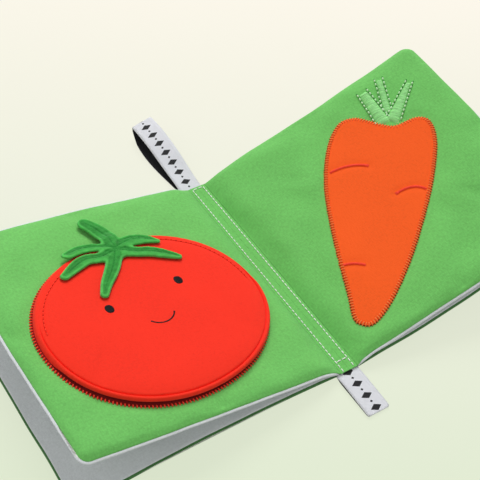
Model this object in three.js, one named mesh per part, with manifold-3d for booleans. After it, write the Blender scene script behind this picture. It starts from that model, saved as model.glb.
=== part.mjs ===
// A soft cloth activity book for a baby, lying open. Four padded cloth leaves are sewn along one spine: on each
// side a cover leaf with a page leaf on it. A padded tomato is sewn to the left page by its upper half, and its
// lower half lifts. A cloth carrot is sewn flat on the right page, and a folded tape tag leaves each spine end.
import * as THREE from 'three';
import { mergeVertices } from 'three/addons/utils/BufferGeometryUtils.js';
import Module from 'manifold-3d';

const wasm = await Module();
wasm.setup();

// Sizes in millimetres. X runs across the spread, +Y to the head of the pages and +Z up from the table.
const LEAF_WIDTH = 170; // from the spine to the fore edge
const LEAF_HEIGHT = 170;
const LEAF_CORNER = 7;
const CLOTH = 0.6;
const SEAM_GAP = 0.3; // clearance between sewn layers that aren't flat on each other
const CROWN_PAD = 2.6; // wadding at the middle of a leaf
const RIM_PAD = 1.6; // wadding just inside the rim
const RAMP = 16; // width over which a leaf swells from the spine
const RIM_FADE = 14; // width over which it thins to the rim
const NEST_GAP = 0.4; // clearance between a cover leaf and the page leaf that lies on it
const EDGE_ROUND = 0.4;
const SPINE_HALF = 4.6;
const COVER_HINGE_OUT = 2.4; // from the spine's edge
const COVER_HINGE_HEIGHT = 2;
const PAGE_HINGE_OUT = 0.75;
const SWEEP_GAP = 0.15; // clearance between the spine and a leaf's root while the leaf turns
const COVER_LIFT = [0, 12.1]; // degrees from the table at rest, left and right
const PAGE_LIFT = [10.1, 0]; // degrees from its cover at rest, left and right
const COVER_CURL = [0, 12]; // rise of the fore edge, left and right
const PAGE_CURL = [2, 12];
const LEAF_TWIST = [0, 5]; // rise of the head corner and fall of the tail corner

const TAPE_WIDTH = 15;
const TAPE = 0.4;
const TAPE_PLY_GAP = 0.2;
const TAG_TAIL = 8; // length caught in the spine
const TAG_TAIL_WIDTH = 8;
const TAG_NECK = 0.4; // clear of the leaves before the tape opens out to its full width
const TAG_REST = 0.35; // height of the tape's middle where it lies on the table
// Each tag: sideways place, length, height of its fold, share of the lower ply that lies down, rise of the
// upper ply between its ends, rise of the right edge over the left, and sideways bow of the lower ply.
const TOP_TAG = { shift: -3.5, length: 69.5, fold: 8.9, landing: 0.84, opening: 2.6, tilt: 3.8, sway: 3.3 };
const BOTTOM_TAG = { shift: -1.2, length: 31.5, fold: 1.1, landing: 1, opening: 1.2, tilt: 0, sway: 0 };

const TOMATO_CENTRE = [LEAF_WIDTH / 2 - 0.7, -10]; // from the spine hinge, and from mid height
const TOMATO_HALF_WIDTH = 71.2;
const TOMATO_UP = 60.5;
const TOMATO_DOWN = 61;
const TOMATO_SQUARENESS = 2.09;
const TOMATO_TURN = -0.206; // turn of its long axis from level, in radians
const TOMATO_CROWN = 4.2;
const TOMATO_RIM = 2.7;
const TOMATO_GROOVE = 0.5;
const TOMATO_GROOVE_INSET = 3.3;
const BACKDROP_SHIFT = [0, -1.5];
const BACKDROP_GROWTH = 1.015;
const APPLIQUE = 0.6;
const SEAT = 0.35; // clearance under what is sewn on a page
const FLAP_GAP = 0.3; // between the sewn and the loose half of the tomato
const FLAP_HINGE_RISE = 0.8; // height of the fold line above the tomato's crown
const TOMATO_STEPS = 16; // facets round each half
const BACKDROP_RINGS = [0, 0.45, 0.8, 0.88, 0.94, 1];

const CALYX_CENTRE = [TOMATO_CENTRE[0] - 1.8, TOMATO_CENTRE[1] + 50];
const CALYX_FELT = 1.2;
const CALYX_RIDGE = 1.0;
// Each arm's middle line from the calyx's centre to its tip, with the half width at each point.
const CALYX_ARMS = [
  { line: [[0, -2], [-0.2, 13], [2, 21.5], [7, 32.3]], half: [5, 5.4, 4.6, 3.7] },
  { line: [[-1.5, 0.5], [8.5, 5.2], [14.5, 7], [21.5, 7.7], [33.3, 5]], half: [3, 2.2, 2.1, 2.1, 2] },
  { line: [[-1.5, -0.5], [11.5, -3.4], [20, -2.3], [27.5, -4.6], [41.8, -12.2]], half: [4, 3.8, 3.4, 3.3, 2.2] },
  { line: [[-0.5, 1.5], [6, -10], [11.5, -17], [18.5, -24.7], [24.8, -33.8]], half: [5, 5.2, 4.4, 3.4, 2.3] },
  {
    line: [[1.5, 0], [-10.5, -6.4], [-18.5, -9.2], [-25.5, -13.5], [-34.9, -20.2]],
    half: [5, 4.4, 4.3, 3.7, 1.9],
  },
  { line: [[1.5, 0.5], [-9.5, 3.9], [-15.5, 3.8], [-21.5, 2], [-28.9, -3]], half: [5, 4.9, 4.6, 3.7, 1.5] },
];

// The carrot's edge and its leaves on the right page, from its centre.
const CARROT_CENTRE = [LEAF_WIDTH / 2 - 1, 6];
const CARROT_OUTLINE = [
  [-66, -72], [-60, -77], [-44, -72], [-19, -57], [7, -37.5], [31, -17], [51, 4.5], [58, 20], [53, 28],
  [38, 32.5], [29, 45.5], [22, 55], [11, 57], [-6, 45], [-25.5, 20], [-45, -18], [-59, -50.5], [-66.2, -66],
];
const CARROT_LEAVES = [
  { name: 'carrot_leaf_left', base: [35, 41], tip: [38.8, 67], width: 3.6, end: 2.4 },
  { name: 'carrot_leaf_middle', base: [43.6, 46.5], tip: [55, 71.6], width: 2.3, end: 1.8 },
  { name: 'carrot_leaf_right', base: [41.2, 37.2], tip: [67, 53.5], width: 3.6, end: 1.6 },
];
const LEAF_STITCHING = 1.0;

const SPINE_TAPE_SPACE = 2 * TAPE + TAPE_PLY_GAP;
const STACK = 4 * CLOTH + SPINE_TAPE_SPACE;
const ROOT_THICKNESS = 2 * CLOTH + SEAM_GAP;
const PADDING_GAPS = 2 * CLOTH + 2 * SEAM_GAP;
const COVER_CROWN = PADDING_GAPS + CROWN_PAD;
const RIM_DROP = (CROWN_PAD - RIM_PAD) / 2;
const LEFT = -1;
const RIGHT = 1;

const GREEN = 0x5bb04e;
const DARK_GREEN = 0x3f7f3c;
const WHITE = 0xe4e6e6;
const RED = 0xf02c1c;
const DEEP_RED = 0xc81f14;
const FELT_GREEN = 0x2f8538;
const ORANGE = 0xf4571c;
const PALE_GREEN = 0x86d27c;
const TAPE_WHITE = 0xd4d6da;

const cloth = (color) => new THREE.MeshStandardMaterial({ color, roughness: 0.9, metalness: 0 });
const smooth = (x) => {
  const t = Math.min(1, Math.max(0, x));
  return t * t * (3 - 2 * t);
};
const side = (array, hand) => array[hand === LEFT ? 0 : 1];

// A closed solid from two grids of points with the same rows and columns, joined around their open borders.
// With loop set, the last row joins the first, as round a disc.
function solid(tops, bottoms, loop = false) {
  const rows = tops.length;
  const columns = tops[0].length;
  const positions = [];
  const quad = (a, b, c, d) => positions.push(...a, ...b, ...c, ...a, ...c, ...d);
  for (let i = 0; i < (loop ? rows : rows - 1); i += 1) {
    const n = (i + 1) % rows;
    for (let j = 0; j < columns - 1; j += 1) {
      quad(tops[i][j], tops[n][j], tops[n][j + 1], tops[i][j + 1]);
      quad(bottoms[i][j], bottoms[i][j + 1], bottoms[n][j + 1], bottoms[n][j]);
    }
    const last = columns - 1;
    quad(tops[i][last], tops[n][last], bottoms[n][last], bottoms[i][last]);
    quad(tops[n][0], tops[i][0], bottoms[i][0], bottoms[n][0]);
  }
  if (!loop) {
    for (let j = 0; j < columns - 1; j += 1) {
      quad(tops[0][j], tops[0][j + 1], bottoms[0][j + 1], bottoms[0][j]);
      quad(tops[rows - 1][j + 1], tops[rows - 1][j], bottoms[rows - 1][j], bottoms[rows - 1][j + 1]);
    }
  }
  return weld(positions);
}

// Merges the shared corners, drops triangles without area, and turns the faces outwards.
function weld(positions) {
  const loose = new THREE.BufferGeometry();
  loose.setAttribute('position', new THREE.Float32BufferAttribute(positions, 3));
  const merged = mergeVertices(loose, 1e-3);
  const corners = merged.getAttribute('position');
  const index = merged.getIndex().array;
  const kept = [];
  let volume = 0;
  const [a, b, c] = [new THREE.Vector3(), new THREE.Vector3(), new THREE.Vector3()];
  for (let i = 0; i < index.length; i += 3) {
    const [p, q, r] = [index[i], index[i + 1], index[i + 2]];
    if (p !== q && q !== r && r !== p) {
      kept.push(p, q, r);
      a.fromBufferAttribute(corners, p);
      b.fromBufferAttribute(corners, q);
      c.fromBufferAttribute(corners, r);
      volume += a.dot(b.cross(c)) / 6;
    }
  }
  if (volume < 0) {
    kept.reverse();
  }
  merged.setIndex(kept);
  merged.computeVertexNormals();
  return merged;
}

function mesh(name, geometry, material) {
  const piece = new THREE.Mesh(geometry, material);
  piece.name = name;
  return piece;
}

// A leaf is worked out flat on the table: u runs from the spine's edge to the fore edge, v along the spine,
// and heights are from the table. These two put such a point in the frame of its hinge line.
const onCover = (hand) => (u, v, z) => [hand * (u - COVER_HINGE_OUT), v, z - COVER_HINGE_HEIGHT];
const onPage = (hand) => (u, v, z) => [hand * (u - PAGE_HINGE_OUT), v, z - STACK];

// Where a layer starts beside the spine: inside the circle that clears the spine while the cover turns.
function rootOf(low, high) {
  const reach = COVER_HINGE_OUT - SWEEP_GAP;
  const height = Math.max(Math.abs(low - COVER_HINGE_HEIGHT), Math.abs(high - COVER_HINGE_HEIGHT));
  return COVER_HINGE_OUT - Math.sqrt(reach ** 2 - height ** 2);
}

const halfLength = (u) => {
  const past = Math.max(0, u - (LEAF_WIDTH - LEAF_CORNER));
  return LEAF_HEIGHT / 2 - LEAF_CORNER + Math.sqrt(Math.max(0, LEAF_CORNER ** 2 - past ** 2));
};
const swell = (u) => smooth(u / RAMP);
const inFromRim = (u, v) => Math.min(LEAF_WIDTH - u, halfLength(u) - Math.abs(v));
const belly = (u, v) => smooth(inFromRim(u, v) / RIM_FADE);
const rounding = (u, v) => EDGE_ROUND * swell(u) * (1 - smooth(inFromRim(u, v) / (CLOTH + SEAM_GAP)));
const bend = (hand, curl, u, v) => {
  const reach = u / LEAF_WIDTH;
  return side(curl, hand) * reach ** 2 + (side(LEAF_TWIST, hand) * reach * v) / (LEAF_HEIGHT / 2);
};

// The underside of a cover's root is rounded about the hinge line, so it never turns into the table.
const heel = (u) => {
  const behind = Math.max(0, COVER_HINGE_OUT - u);
  return COVER_HINGE_HEIGHT - Math.sqrt(COVER_HINGE_HEIGHT ** 2 - behind ** 2);
};

// A cover leaf lies on the table, so its outer cloth is flat. Its seam is low: the white lining makes the rim.
const coverLeaf = (hand) => ({
  low: (u, v) => bend(hand, COVER_CURL, u, v) + rounding(u, v) + heel(u),
  high: (u, v) => {
    const full = COVER_CROWN - 2 * RIM_DROP * (1 - belly(u, v));
    const flat = ROOT_THICKNESS + (full - ROOT_THICKNESS) * swell(u);
    return flat + bend(hand, COVER_CURL, u, v) - rounding(u, v);
  },
  seam: 0.42,
  roots: [rootOf(0, CLOTH), rootOf(ROOT_THICKNESS - CLOTH, ROOT_THICKNESS)],
  place: onCover(hand),
});

// A page leaf lies on its cover, and its white back makes the rim, up to the coloured face.
const pageLeaf = (hand) => {
  const root = STACK - ROOT_THICKNESS;
  const crown = COVER_CROWN + NEST_GAP;
  return {
    low: (u, v) => {
      const full = crown + RIM_DROP * (1 - belly(u, v));
      return root + (full - root) * swell(u) + bend(hand, PAGE_CURL, u, v) + rounding(u, v);
    },
    high: (u, v) => {
      const full = crown + COVER_CROWN - RIM_DROP * (1 - belly(u, v));
      return STACK + (full - STACK) * swell(u) + bend(hand, PAGE_CURL, u, v) - rounding(u, v);
    },
    seam: 0.72,
    roots: [rootOf(root, STACK), rootOf(root, STACK)],
    place: onPage(hand),
  };
};

// The grid lines of a leaf between its root and an inset from its rim, closer together where it curves.
function leafGrid(start, inset, lines) {
  const ramp = [0.25, 0.5, 0.75, 1].map((share) => share * RAMP).filter((u) => u > start + 1);
  const middle = [0.27, 0.48, 0.7].map((share) => share * LEAF_WIDTH);
  const fore = [RIM_FADE, LEAF_CORNER, LEAF_CORNER / 2.4].filter((d) => d > inset + 0.5);
  const us = [start, ...ramp, ...middle, ...fore.map((d) => LEAF_WIDTH - d), ...lines.map((d) => LEAF_WIDTH - d)];
  const ds = [...lines].reverse().concat([LEAF_CORNER * 0.8, RIM_FADE]);
  return us.map((u) => {
    const half = halfLength(u);
    const outer = ds.map((d) => half - d);
    const vs = [...outer.map((v) => -v), -0.3 * half, 0, 0.3 * half, ...outer.reverse()];
    return vs.map((v) => [u, v]);
  });
}

// Two cloths sewn together round the rim, with wadding between them.
function quiltedLeaf(shape, names, colours) {
  const walls = [CLOTH + SEAM_GAP, CLOTH, 0];
  const isWall = (u, v) => inFromRim(u, v) < CLOTH + 1e-3;
  const seamAt = (u, v) => {
    const [low, high] = [shape.low(u, v), shape.high(u, v)];
    return Math.max(low + CLOTH, Math.min(low + shape.seam * (high - low), high - CLOTH - SEAM_GAP));
  };
  const map = (grid, height) => grid.map((line) => line.map(([u, v]) => shape.place(u, v, height(u, v))));
  const [lowerGrid, upperGrid] = shape.roots.map((root) => leafGrid(root, walls[0], walls));
  const lower = solid(
    map(lowerGrid, (u, v) => (isWall(u, v) ? seamAt(u, v) : shape.low(u, v) + CLOTH)),
    map(lowerGrid, shape.low),
  );
  const upper = solid(
    map(upperGrid, shape.high),
    map(upperGrid, (u, v) => (isWall(u, v) ? seamAt(u, v) + SEAM_GAP : shape.high(u, v) - CLOTH)),
  );
  const inset = walls[0] + SEAM_GAP;
  const fill = leafGrid(RAMP / 2, inset, [inset]);
  const wadding = solid(
    map(fill, (u, v) => shape.high(u, v) - CLOTH - SEAM_GAP),
    map(fill, (u, v) => shape.low(u, v) + CLOTH + SEAM_GAP),
  );
  return [
    mesh(names.lower, lower, cloth(colours.lower)),
    mesh(names.wadding, wadding, cloth(WHITE)),
    mesh(names.upper, upper, cloth(colours.upper)),
  ];
}

// A group on a hinge line, raised by an angle in degrees.
function hinged(hand, degrees) {
  const group = new THREE.Group();
  group.rotation.y = -hand * THREE.MathUtils.degToRad(degrees);
  return group;
}

// A disc round a centre: rings are shares of the outline, and each ring point gets its own top and bottom.
function disc(place, centre, outline, rings, top, bottom, loop) {
  const point = (height) => outline.map((edge) => rings.map((ring) => {
    const u = centre[0] + ring * (edge[0] - centre[0]);
    const v = centre[1] + ring * (edge[1] - centre[1]);
    return place(u, v, height(u, v, ring));
  }));
  return solid(point(top), point(bottom), loop);
}

// How far out a point lies from the tomato's middle (0) to its edge (1), along a slightly squared and turned
// ellipse with its own half height above and below its long axis.
function tomatoNorm(du, dv) {
  const [c, s] = [Math.cos(TOMATO_TURN), Math.sin(TOMATO_TURN)];
  const [x, y] = [Math.abs(du * c + dv * s), dv * c - du * s];
  const half = y > 0 ? TOMATO_UP : TOMATO_DOWN;
  const power = TOMATO_SQUARENESS;
  return ((x / TOMATO_HALF_WIDTH) ** power + (Math.abs(y) / half) ** power) ** (1 / power);
}
const tomatoRing = (u, v) => tomatoNorm(u - TOMATO_CENTRE[0], v - TOMATO_CENTRE[1]);

// The tomato's edge from its middle, between two directions.
function tomatoEdge(from, to, steps) {
  return Array.from({ length: steps + 1 }, (_, i) => {
    const angle = from + ((to - from) * i) / steps;
    const reach = 1 / tomatoNorm(Math.cos(angle), Math.sin(angle));
    return [reach * Math.cos(angle), reach * Math.sin(angle)];
  });
}

// The padded tomato's thickness above its own back, with a stitched groove just inside its rim.
const GROOVE_RING = 1 - TOMATO_GROOVE_INSET / TOMATO_HALF_WIDTH;
function tomatoThickness(ring) {
  const crown = TOMATO_RIM + (TOMATO_CROWN - TOMATO_RIM) * Math.sqrt(Math.max(0, 1 - ring ** 4));
  const groove = TOMATO_GROOVE * Math.exp(-(((ring - GROOVE_RING) * TOMATO_HALF_WIDTH) ** 2));
  return crown - groove - (ring > 0.995 ? CLOTH / 2 : 0);
}

// Half of the tomato as three layers: back cloth, wadding and front cloth. The front cloth makes its rim.
function tomatoHalf(names, up, back, origin) {
  const ends = up ? [0, Math.PI] : [-Math.PI, 0];
  const away = up ? 1 : -1;
  const wall = 1 - CLOTH / TOMATO_DOWN;
  const lip = wall - SEAM_GAP / TOMATO_DOWN;
  const edge = tomatoEdge(...ends, TOMATO_STEPS);
  const layer = (name, inset, rings, top, bottom, colour) => {
    const centre = [TOMATO_CENTRE[0], TOMATO_CENTRE[1] + away * (FLAP_GAP / 2 + inset)];
    const outline = edge.map(([u, v]) => [TOMATO_CENTRE[0] + u, centre[1] + v]);
    const geometry = disc(onPage(LEFT), centre, outline, rings, top, bottom, false);
    geometry.translate(-origin[0], -origin[1], -origin[2]);
    return mesh(name, geometry, cloth(colour));
  };
  const groove = [GROOVE_RING - 0.025, GROOVE_RING, GROOVE_RING + 0.025];
  const front = (u, v, ring) => back(u, v) + tomatoThickness(ring);
  const inside = (u, v, ring) => (ring > wall - 1e-4
    ? back(u, v) + CLOTH + SEAM_GAP
    : front(u, v, ring) - CLOTH);
  const fillTop = (u, v) => back(u, v) + tomatoThickness(Math.min(tomatoRing(u, v), groove[0])) - CLOTH - SEAM_GAP;
  const fillLow = (u, v) => back(u, v) + CLOTH + SEAM_GAP;
  return [
    layer(names.back, 0, BACKDROP_RINGS, (u, v) => back(u, v) + CLOTH, back, RED),
    layer(names.wadding, CLOTH + SEAM_GAP, [0, 0.35, 0.65, 0.85, groove[0] - 0.01], fillTop, fillLow, WHITE),
    layer(names.front, 0, [0, 0.35, 0.65, 0.85, ...groove, lip, wall, 1], front, inside, RED),
  ];
}

// One felt arm of the calyx: seven points across at each station, with a pinched crease between two ridges.
function calyxArm({ line, half }, seat) {
  const place = onPage(LEFT);
  const stations = 7;
  const middle = new THREE.CatmullRomCurve3(
    line.map(([u, v]) => new THREE.Vector3(CALYX_CENTRE[0] + u, CALYX_CENTRE[1] + v, 0)),
  );
  const shares = [-1, -0.85, -0.45, 0, 0.45, 0.85, 1];
  const heights = [0.35, 0.8, 1, 0.72, 1, 0.8, 0.35];
  const tops = [];
  const bottoms = [];
  for (let i = 0; i <= stations; i += 1) {
    const t = i / stations;
    const [at, ahead] = [middle.getPoint(t), middle.getTangent(t)];
    const k = Math.min(half.length - 2, Math.floor(t * (half.length - 1)));
    const width = half[k] + (half[k + 1] - half[k]) * (t * (half.length - 1) - k);
    const taper = t > 0.85 ? Math.sqrt(1 - ((t - 0.85) / 0.16) ** 2) : 1;
    const row = shares.map((share) => {
      const offset = share * width * taper;
      return [at.x - ahead.y * offset, at.y + ahead.x * offset];
    });
    bottoms.push(row.map(([u, v]) => place(u, v, seat(u, v))));
    const rise = (n) => CALYX_FELT + CALYX_RIDGE * heights[n] * Math.sin(Math.PI * (0.12 + 0.76 * t));
    tops.push(row.map(([u, v], n) => place(u, v, seat(u, v) + rise(n) * (n % 6 === 0 ? 0.6 : 1))));
  }
  return solid(tops, bottoms);
}

function toManifold(geometry) {
  const bare = geometry.clone();
  bare.deleteAttribute('normal');
  const merged = mergeVertices(bare, 1e-4);
  return new wasm.Manifold(new wasm.Mesh({
    numProp: 3,
    vertProperties: new Float32Array(merged.getAttribute('position').array),
    triVerts: new Uint32Array(merged.getIndex().array),
  }));
}

function toGeometry(manifold) {
  const { vertProperties, triVerts } = manifold.getMesh();
  const positions = [];
  for (const corner of triVerts) {
    positions.push(...vertProperties.slice(3 * corner, 3 * corner + 3));
  }
  return weld(positions);
}

const union = (geometries) => toGeometry(geometries.map(toManifold).reduce((all, next) => all.add(next)));

// A strip of tape carried along a path of { y, z, half, middle, tilt } stations, from one end to the other.
function tape(path) {
  const tops = [];
  const bottoms = [];
  path.forEach(({ y, z, half, middle, tilt }, i) => {
    const [before, after] = [path[Math.max(0, i - 1)], path[Math.min(path.length - 1, i + 1)]];
    const run = Math.hypot(after.y - before.y, after.z - before.z);
    const normal = [(before.z - after.z) / run, (after.y - before.y) / run];
    const at = (share, lift) => [middle + share * half, y + normal[0] * lift, z + normal[1] * lift + tilt * share];
    tops.push([-1, 0, 1].map((share) => at(share, TAPE / 2)));
    bottoms.push([-1, 0, 1].map((share) => at(share, -TAPE / 2)));
  });
  return solid(tops, bottoms);
}

// A folded tag: the lower ply runs out over the table, turns in a tight fold and comes back above itself.
function tag(name, hand, { shift, length, fold, landing, opening, tilt, sway }) {
  const edge = LEAF_HEIGHT / 2;
  const lowPly = 2 * CLOTH + TAPE / 2;
  const highPly = lowPly + TAPE + TAPE_PLY_GAP;
  const tail = (y, z) => ({ y, z, half: TAG_TAIL_WIDTH / 2, middle: 0, tilt: 0 });
  const free = (t, z, bow = 0) => ({
    y: edge + TAG_NECK + t * (length - TAG_NECK - TAPE),
    z,
    half: TAPE_WIDTH / 2,
    middle: shift - bow * Math.sin(Math.PI * t ** 1.3),
    tilt: (tilt / 2) * smooth(t * 2) * smooth(z / fold),
  });
  const folded = fold - TAPE - TAPE_PLY_GAP;
  const low = (t) => {
    const sinking = TAG_REST + (lowPly - TAG_REST) * (1 - smooth(t / 0.15));
    return sinking + (folded - TAG_REST) * Math.max(0, (t - landing) / (1.001 - landing)) ** 1.35;
  };
  const high = (t) => highPly + (fold - highPly) * t + opening * Math.sin(Math.PI * t ** 1.5);
  const shares = [0, 0.05, 0.1, 0.15, 0.35, 0.6, 0.68, 0.76, 0.84, 0.92, 1];
  const turn = { ...free(1, (folded + fold) / 2), y: edge + length - TAPE / 2 };
  return mesh(name, tape([
    tail(edge - TAG_TAIL, lowPly),
    tail(edge, lowPly),
    ...shares.map((t) => free(t, low(t), sway)),
    turn,
    ...shares.map((t) => free(1 - t, high(1 - t))),
    tail(edge, highPly),
    tail(edge - TAG_TAIL, highPly),
  ].map((station) => ({ ...station, y: hand * station.y }))), cloth(TAPE_WHITE));
}

// One flat layer of the spine, from its lower to its upper face, cut back under its ends where a recess is given.
function spineLayer(name, low, high, recess, colour) {
  const [end, notch] = [LEAF_HEIGHT / 2, LEAF_HEIGHT / 2 - TAG_TAIL];
  const profile = new THREE.Shape();
  profile.moveTo(-end, low + recess);
  if (recess > 0) {
    profile.lineTo(-notch, low + recess);
    profile.lineTo(-notch, low);
    profile.lineTo(notch, low);
    profile.lineTo(notch, low + recess);
  }
  profile.lineTo(end, low + recess);
  profile.lineTo(end, high);
  profile.lineTo(-end, high);
  profile.closePath();
  const block = new THREE.ExtrudeGeometry(profile, { depth: 2 * SPINE_HALF, bevelEnabled: false });
  block.applyMatrix4(new THREE.Matrix4().makeBasis(
    new THREE.Vector3(0, 1, 0),
    new THREE.Vector3(0, 0, 1),
    new THREE.Vector3(1, 0, 0),
  ));
  block.translate(-SPINE_HALF, 0, 0);
  return mesh(name, weld([...block.getAttribute('position').array]), cloth(colour));
}

function spine() {
  const pageBack = 2 * CLOTH;
  const pageFace = STACK - CLOTH;
  return [
    spineLayer('spine_cover_cloth', 0, CLOTH, 0, DARK_GREEN),
    spineLayer('spine_cover_lining', CLOTH, pageBack, 0, WHITE),
    spineLayer('spine_page_back', pageBack, pageFace, SPINE_TAPE_SPACE, WHITE),
    spineLayer('spine_page_face', pageFace, STACK, 0, GREEN),
    tag('top_tag', 1, TOP_TAG),
    tag('bottom_tag', -1, BOTTOM_TAG),
  ];
}

// The tomato's backing shape on the page, its sewn upper half with the calyx, and its loose lower half on a hinge.
function tomato() {
  const page = pageLeaf(LEFT);
  const backdropLow = (u, v) => page.high(u, v) + SEAT;
  const seatHeight = (u, v) => backdropLow(u, v) + APPLIQUE + SEAT;
  const centre = TOMATO_CENTRE.map((at, k) => at + BACKDROP_SHIFT[k]);
  const outline = tomatoEdge(0, 2 * Math.PI, 2 * TOMATO_STEPS).slice(1)
    .map(([u, v]) => [centre[0] + BACKDROP_GROWTH * u, centre[1] + BACKDROP_GROWTH * v]);
  const backdrop = disc(onPage(LEFT), centre, outline, BACKDROP_RINGS,
    (u, v) => backdropLow(u, v) + APPLIQUE, backdropLow, true);

  const crown = seatHeight(...TOMATO_CENTRE) + TOMATO_CROWN;
  const hinge = onPage(LEFT)(...TOMATO_CENTRE, crown + FLAP_HINGE_RISE);
  const sewn = { back: 'tomato_top_back', wadding: 'tomato_top_wadding', front: 'tomato_top_front' };
  const loose = { back: 'tomato_flap_back', wadding: 'tomato_flap_wadding', front: 'tomato_flap_front' };
  const flap = new THREE.Group();
  flap.position.set(...hinge);
  flap.add(...tomatoHalf(loose, false, seatHeight, hinge));

  const calyxSeat = (u, v) => {
    const ring = tomatoRing(u, v);
    const fall = (TOMATO_RIM - CLOTH) * smooth((ring - 1.03) / 0.25);
    return seatHeight(u, v) + tomatoThickness(Math.min(ring, GROOVE_RING - 0.05)) + SEAT - fall;
  };
  return [
    mesh('tomato_backdrop', backdrop, cloth(DEEP_RED)),
    ...tomatoHalf(sewn, true, seatHeight, [0, 0, 0]),
    mesh('calyx', union(CALYX_ARMS.map((arm) => calyxArm(arm, calyxSeat))), cloth(FELT_GREEN)),
    flap,
  ];
}

// One padded satin-stitched leaf of the carrot, as a flat tapered disc between its base and its tip.
function carrotLeaf({ name, base, tip, width, end }, seat) {
  const centre = CARROT_CENTRE.map((at, k) => at + (base[k] + tip[k]) / 2);
  const along = [(tip[0] - base[0]) / 2, (tip[1] - base[1]) / 2];
  const length = Math.hypot(...along);
  const across = [-along[1] / length, along[0] / length];
  const outline = [[-1, -0.7], [-0.5, -1], [0.4, -1], [0.9, -1], [1, -0.5], [1, 0.5], [0.9, 1], [0.4, 1], [-0.5, 1],
    [-1, 0.7]].map(([s, w]) => {
    const half = width + ((end - width) * (s + 1)) / 2;
    return [centre[0] + along[0] * s + across[0] * w * half, centre[1] + along[1] * s + across[1] * w * half];
  });
  const top = (u, v, ring) => seat(u, v) + LEAF_STITCHING * (1 - 0.5 * ring ** 3);
  return mesh(name, disc(onPage(RIGHT), centre, outline, [0, 0.75, 1], top, seat, true), cloth(PALE_GREEN));
}

function carrot() {
  const page = pageLeaf(RIGHT);
  const seat = (u, v) => page.high(u, v) + SEAT;
  const curve = new THREE.CatmullRomCurve3(
    CARROT_OUTLINE.map(([u, v]) => new THREE.Vector3(CARROT_CENTRE[0] + u, CARROT_CENTRE[1] + v, 0)),
    true,
  );
  const steps = 2 * CARROT_OUTLINE.length;
  const edge = curve.getPoints(steps).slice(0, steps).map((p) => [p.x, p.y]);
  const rings = [0, 0.25, 0.5, 0.75, 0.95, 1];
  const body = disc(onPage(RIGHT), CARROT_CENTRE, edge, rings, (u, v) => seat(u, v) + APPLIQUE, seat, true);
  return [
    mesh('carrot', body, cloth(ORANGE)),
    ...CARROT_LEAVES.map((leaf) => carrotLeaf(leaf, seat)),
  ];
}

// A cover leaf on its hinge line beside the spine, with a page leaf on a hinge line of its own above the root.
function sideOfBook(hand, word, artwork) {
  const names = (leaf, lower, upper) => ({
    lower: `${word}_${leaf}_${lower}`, wadding: `${word}_${leaf}_wadding`, upper: `${word}_${leaf}_${upper}`,
  });
  const page = hinged(hand, side(PAGE_LIFT, hand));
  page.position.set(...onCover(hand)(PAGE_HINGE_OUT, 0, STACK));
  page.add(
    ...quiltedLeaf(pageLeaf(hand), names('page', 'back', 'face'), { lower: WHITE, upper: GREEN }),
    ...artwork,
  );
  const cover = hinged(hand, side(COVER_LIFT, hand));
  cover.position.set(hand * (SPINE_HALF + COVER_HINGE_OUT), 0, COVER_HINGE_HEIGHT);
  cover.add(
    ...quiltedLeaf(coverLeaf(hand), names('cover', 'cloth', 'lining'), { lower: DARK_GREEN, upper: WHITE }),
    page,
  );
  return cover;
}

const group = new THREE.Group();
group.add(
  ...spine(),
  sideOfBook(LEFT, 'left', tomato()),
  sideOfBook(RIGHT, 'right', carrot()),
);

export default group;
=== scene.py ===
import bpy
import numpy as np
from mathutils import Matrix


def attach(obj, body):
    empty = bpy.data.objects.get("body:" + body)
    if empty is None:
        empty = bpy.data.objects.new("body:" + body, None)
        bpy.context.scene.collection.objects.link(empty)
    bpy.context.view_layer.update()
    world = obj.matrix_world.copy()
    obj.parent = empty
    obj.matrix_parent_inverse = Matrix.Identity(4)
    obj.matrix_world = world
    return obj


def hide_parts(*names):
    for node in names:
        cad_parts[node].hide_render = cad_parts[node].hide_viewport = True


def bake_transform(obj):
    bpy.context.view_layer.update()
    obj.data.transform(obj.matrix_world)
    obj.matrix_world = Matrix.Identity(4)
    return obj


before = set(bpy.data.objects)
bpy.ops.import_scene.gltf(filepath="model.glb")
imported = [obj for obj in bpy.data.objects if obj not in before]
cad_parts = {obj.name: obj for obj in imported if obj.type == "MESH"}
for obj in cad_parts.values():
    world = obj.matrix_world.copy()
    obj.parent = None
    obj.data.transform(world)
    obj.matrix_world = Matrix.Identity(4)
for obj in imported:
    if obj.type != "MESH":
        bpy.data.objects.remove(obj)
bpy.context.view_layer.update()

# ---- Studio ----
# A pale light table, warm far away and greener near by, under one broad soft light and a bright room.
# The camera stands to the left of the book's foot and looks down on it, a little rolled.


def camera_axes(azimuth, elevation, roll):
    """Right, up and back of a camera: back points from its target to it, and roll turns it about that line."""
    a, e, r = np.radians([azimuth, elevation, roll])
    back = np.array([np.sin(a) * np.cos(e), -np.cos(a) * np.cos(e), np.sin(e)])
    level = np.cross(-back, [0, 0, 1])
    level /= np.linalg.norm(level)
    upright = np.cross(level, -back)
    return np.cos(r) * level + np.sin(r) * upright, np.cos(r) * upright - np.sin(r) * level, back


def fill(tree, node, values):
    """Fills a node's input sockets, named or numbered, with plain values or with what other nodes put out."""
    for socket, value in values.items():
        if isinstance(value, bpy.types.NodeSocket):
            tree.links.new(value, node.inputs[socket])
        else:
            node.inputs[socket].default_value = value


def add(tree, kind, values, out=0, **settings):
    """Adds a shader node with its own settings, fills its sockets, and gives back one of its outputs."""
    node = tree.nodes.new("ShaderNode" + kind)
    for setting, value in settings.items():
        setattr(node, setting, value)
    fill(tree, node, values)
    return node.outputs[out]


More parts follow.
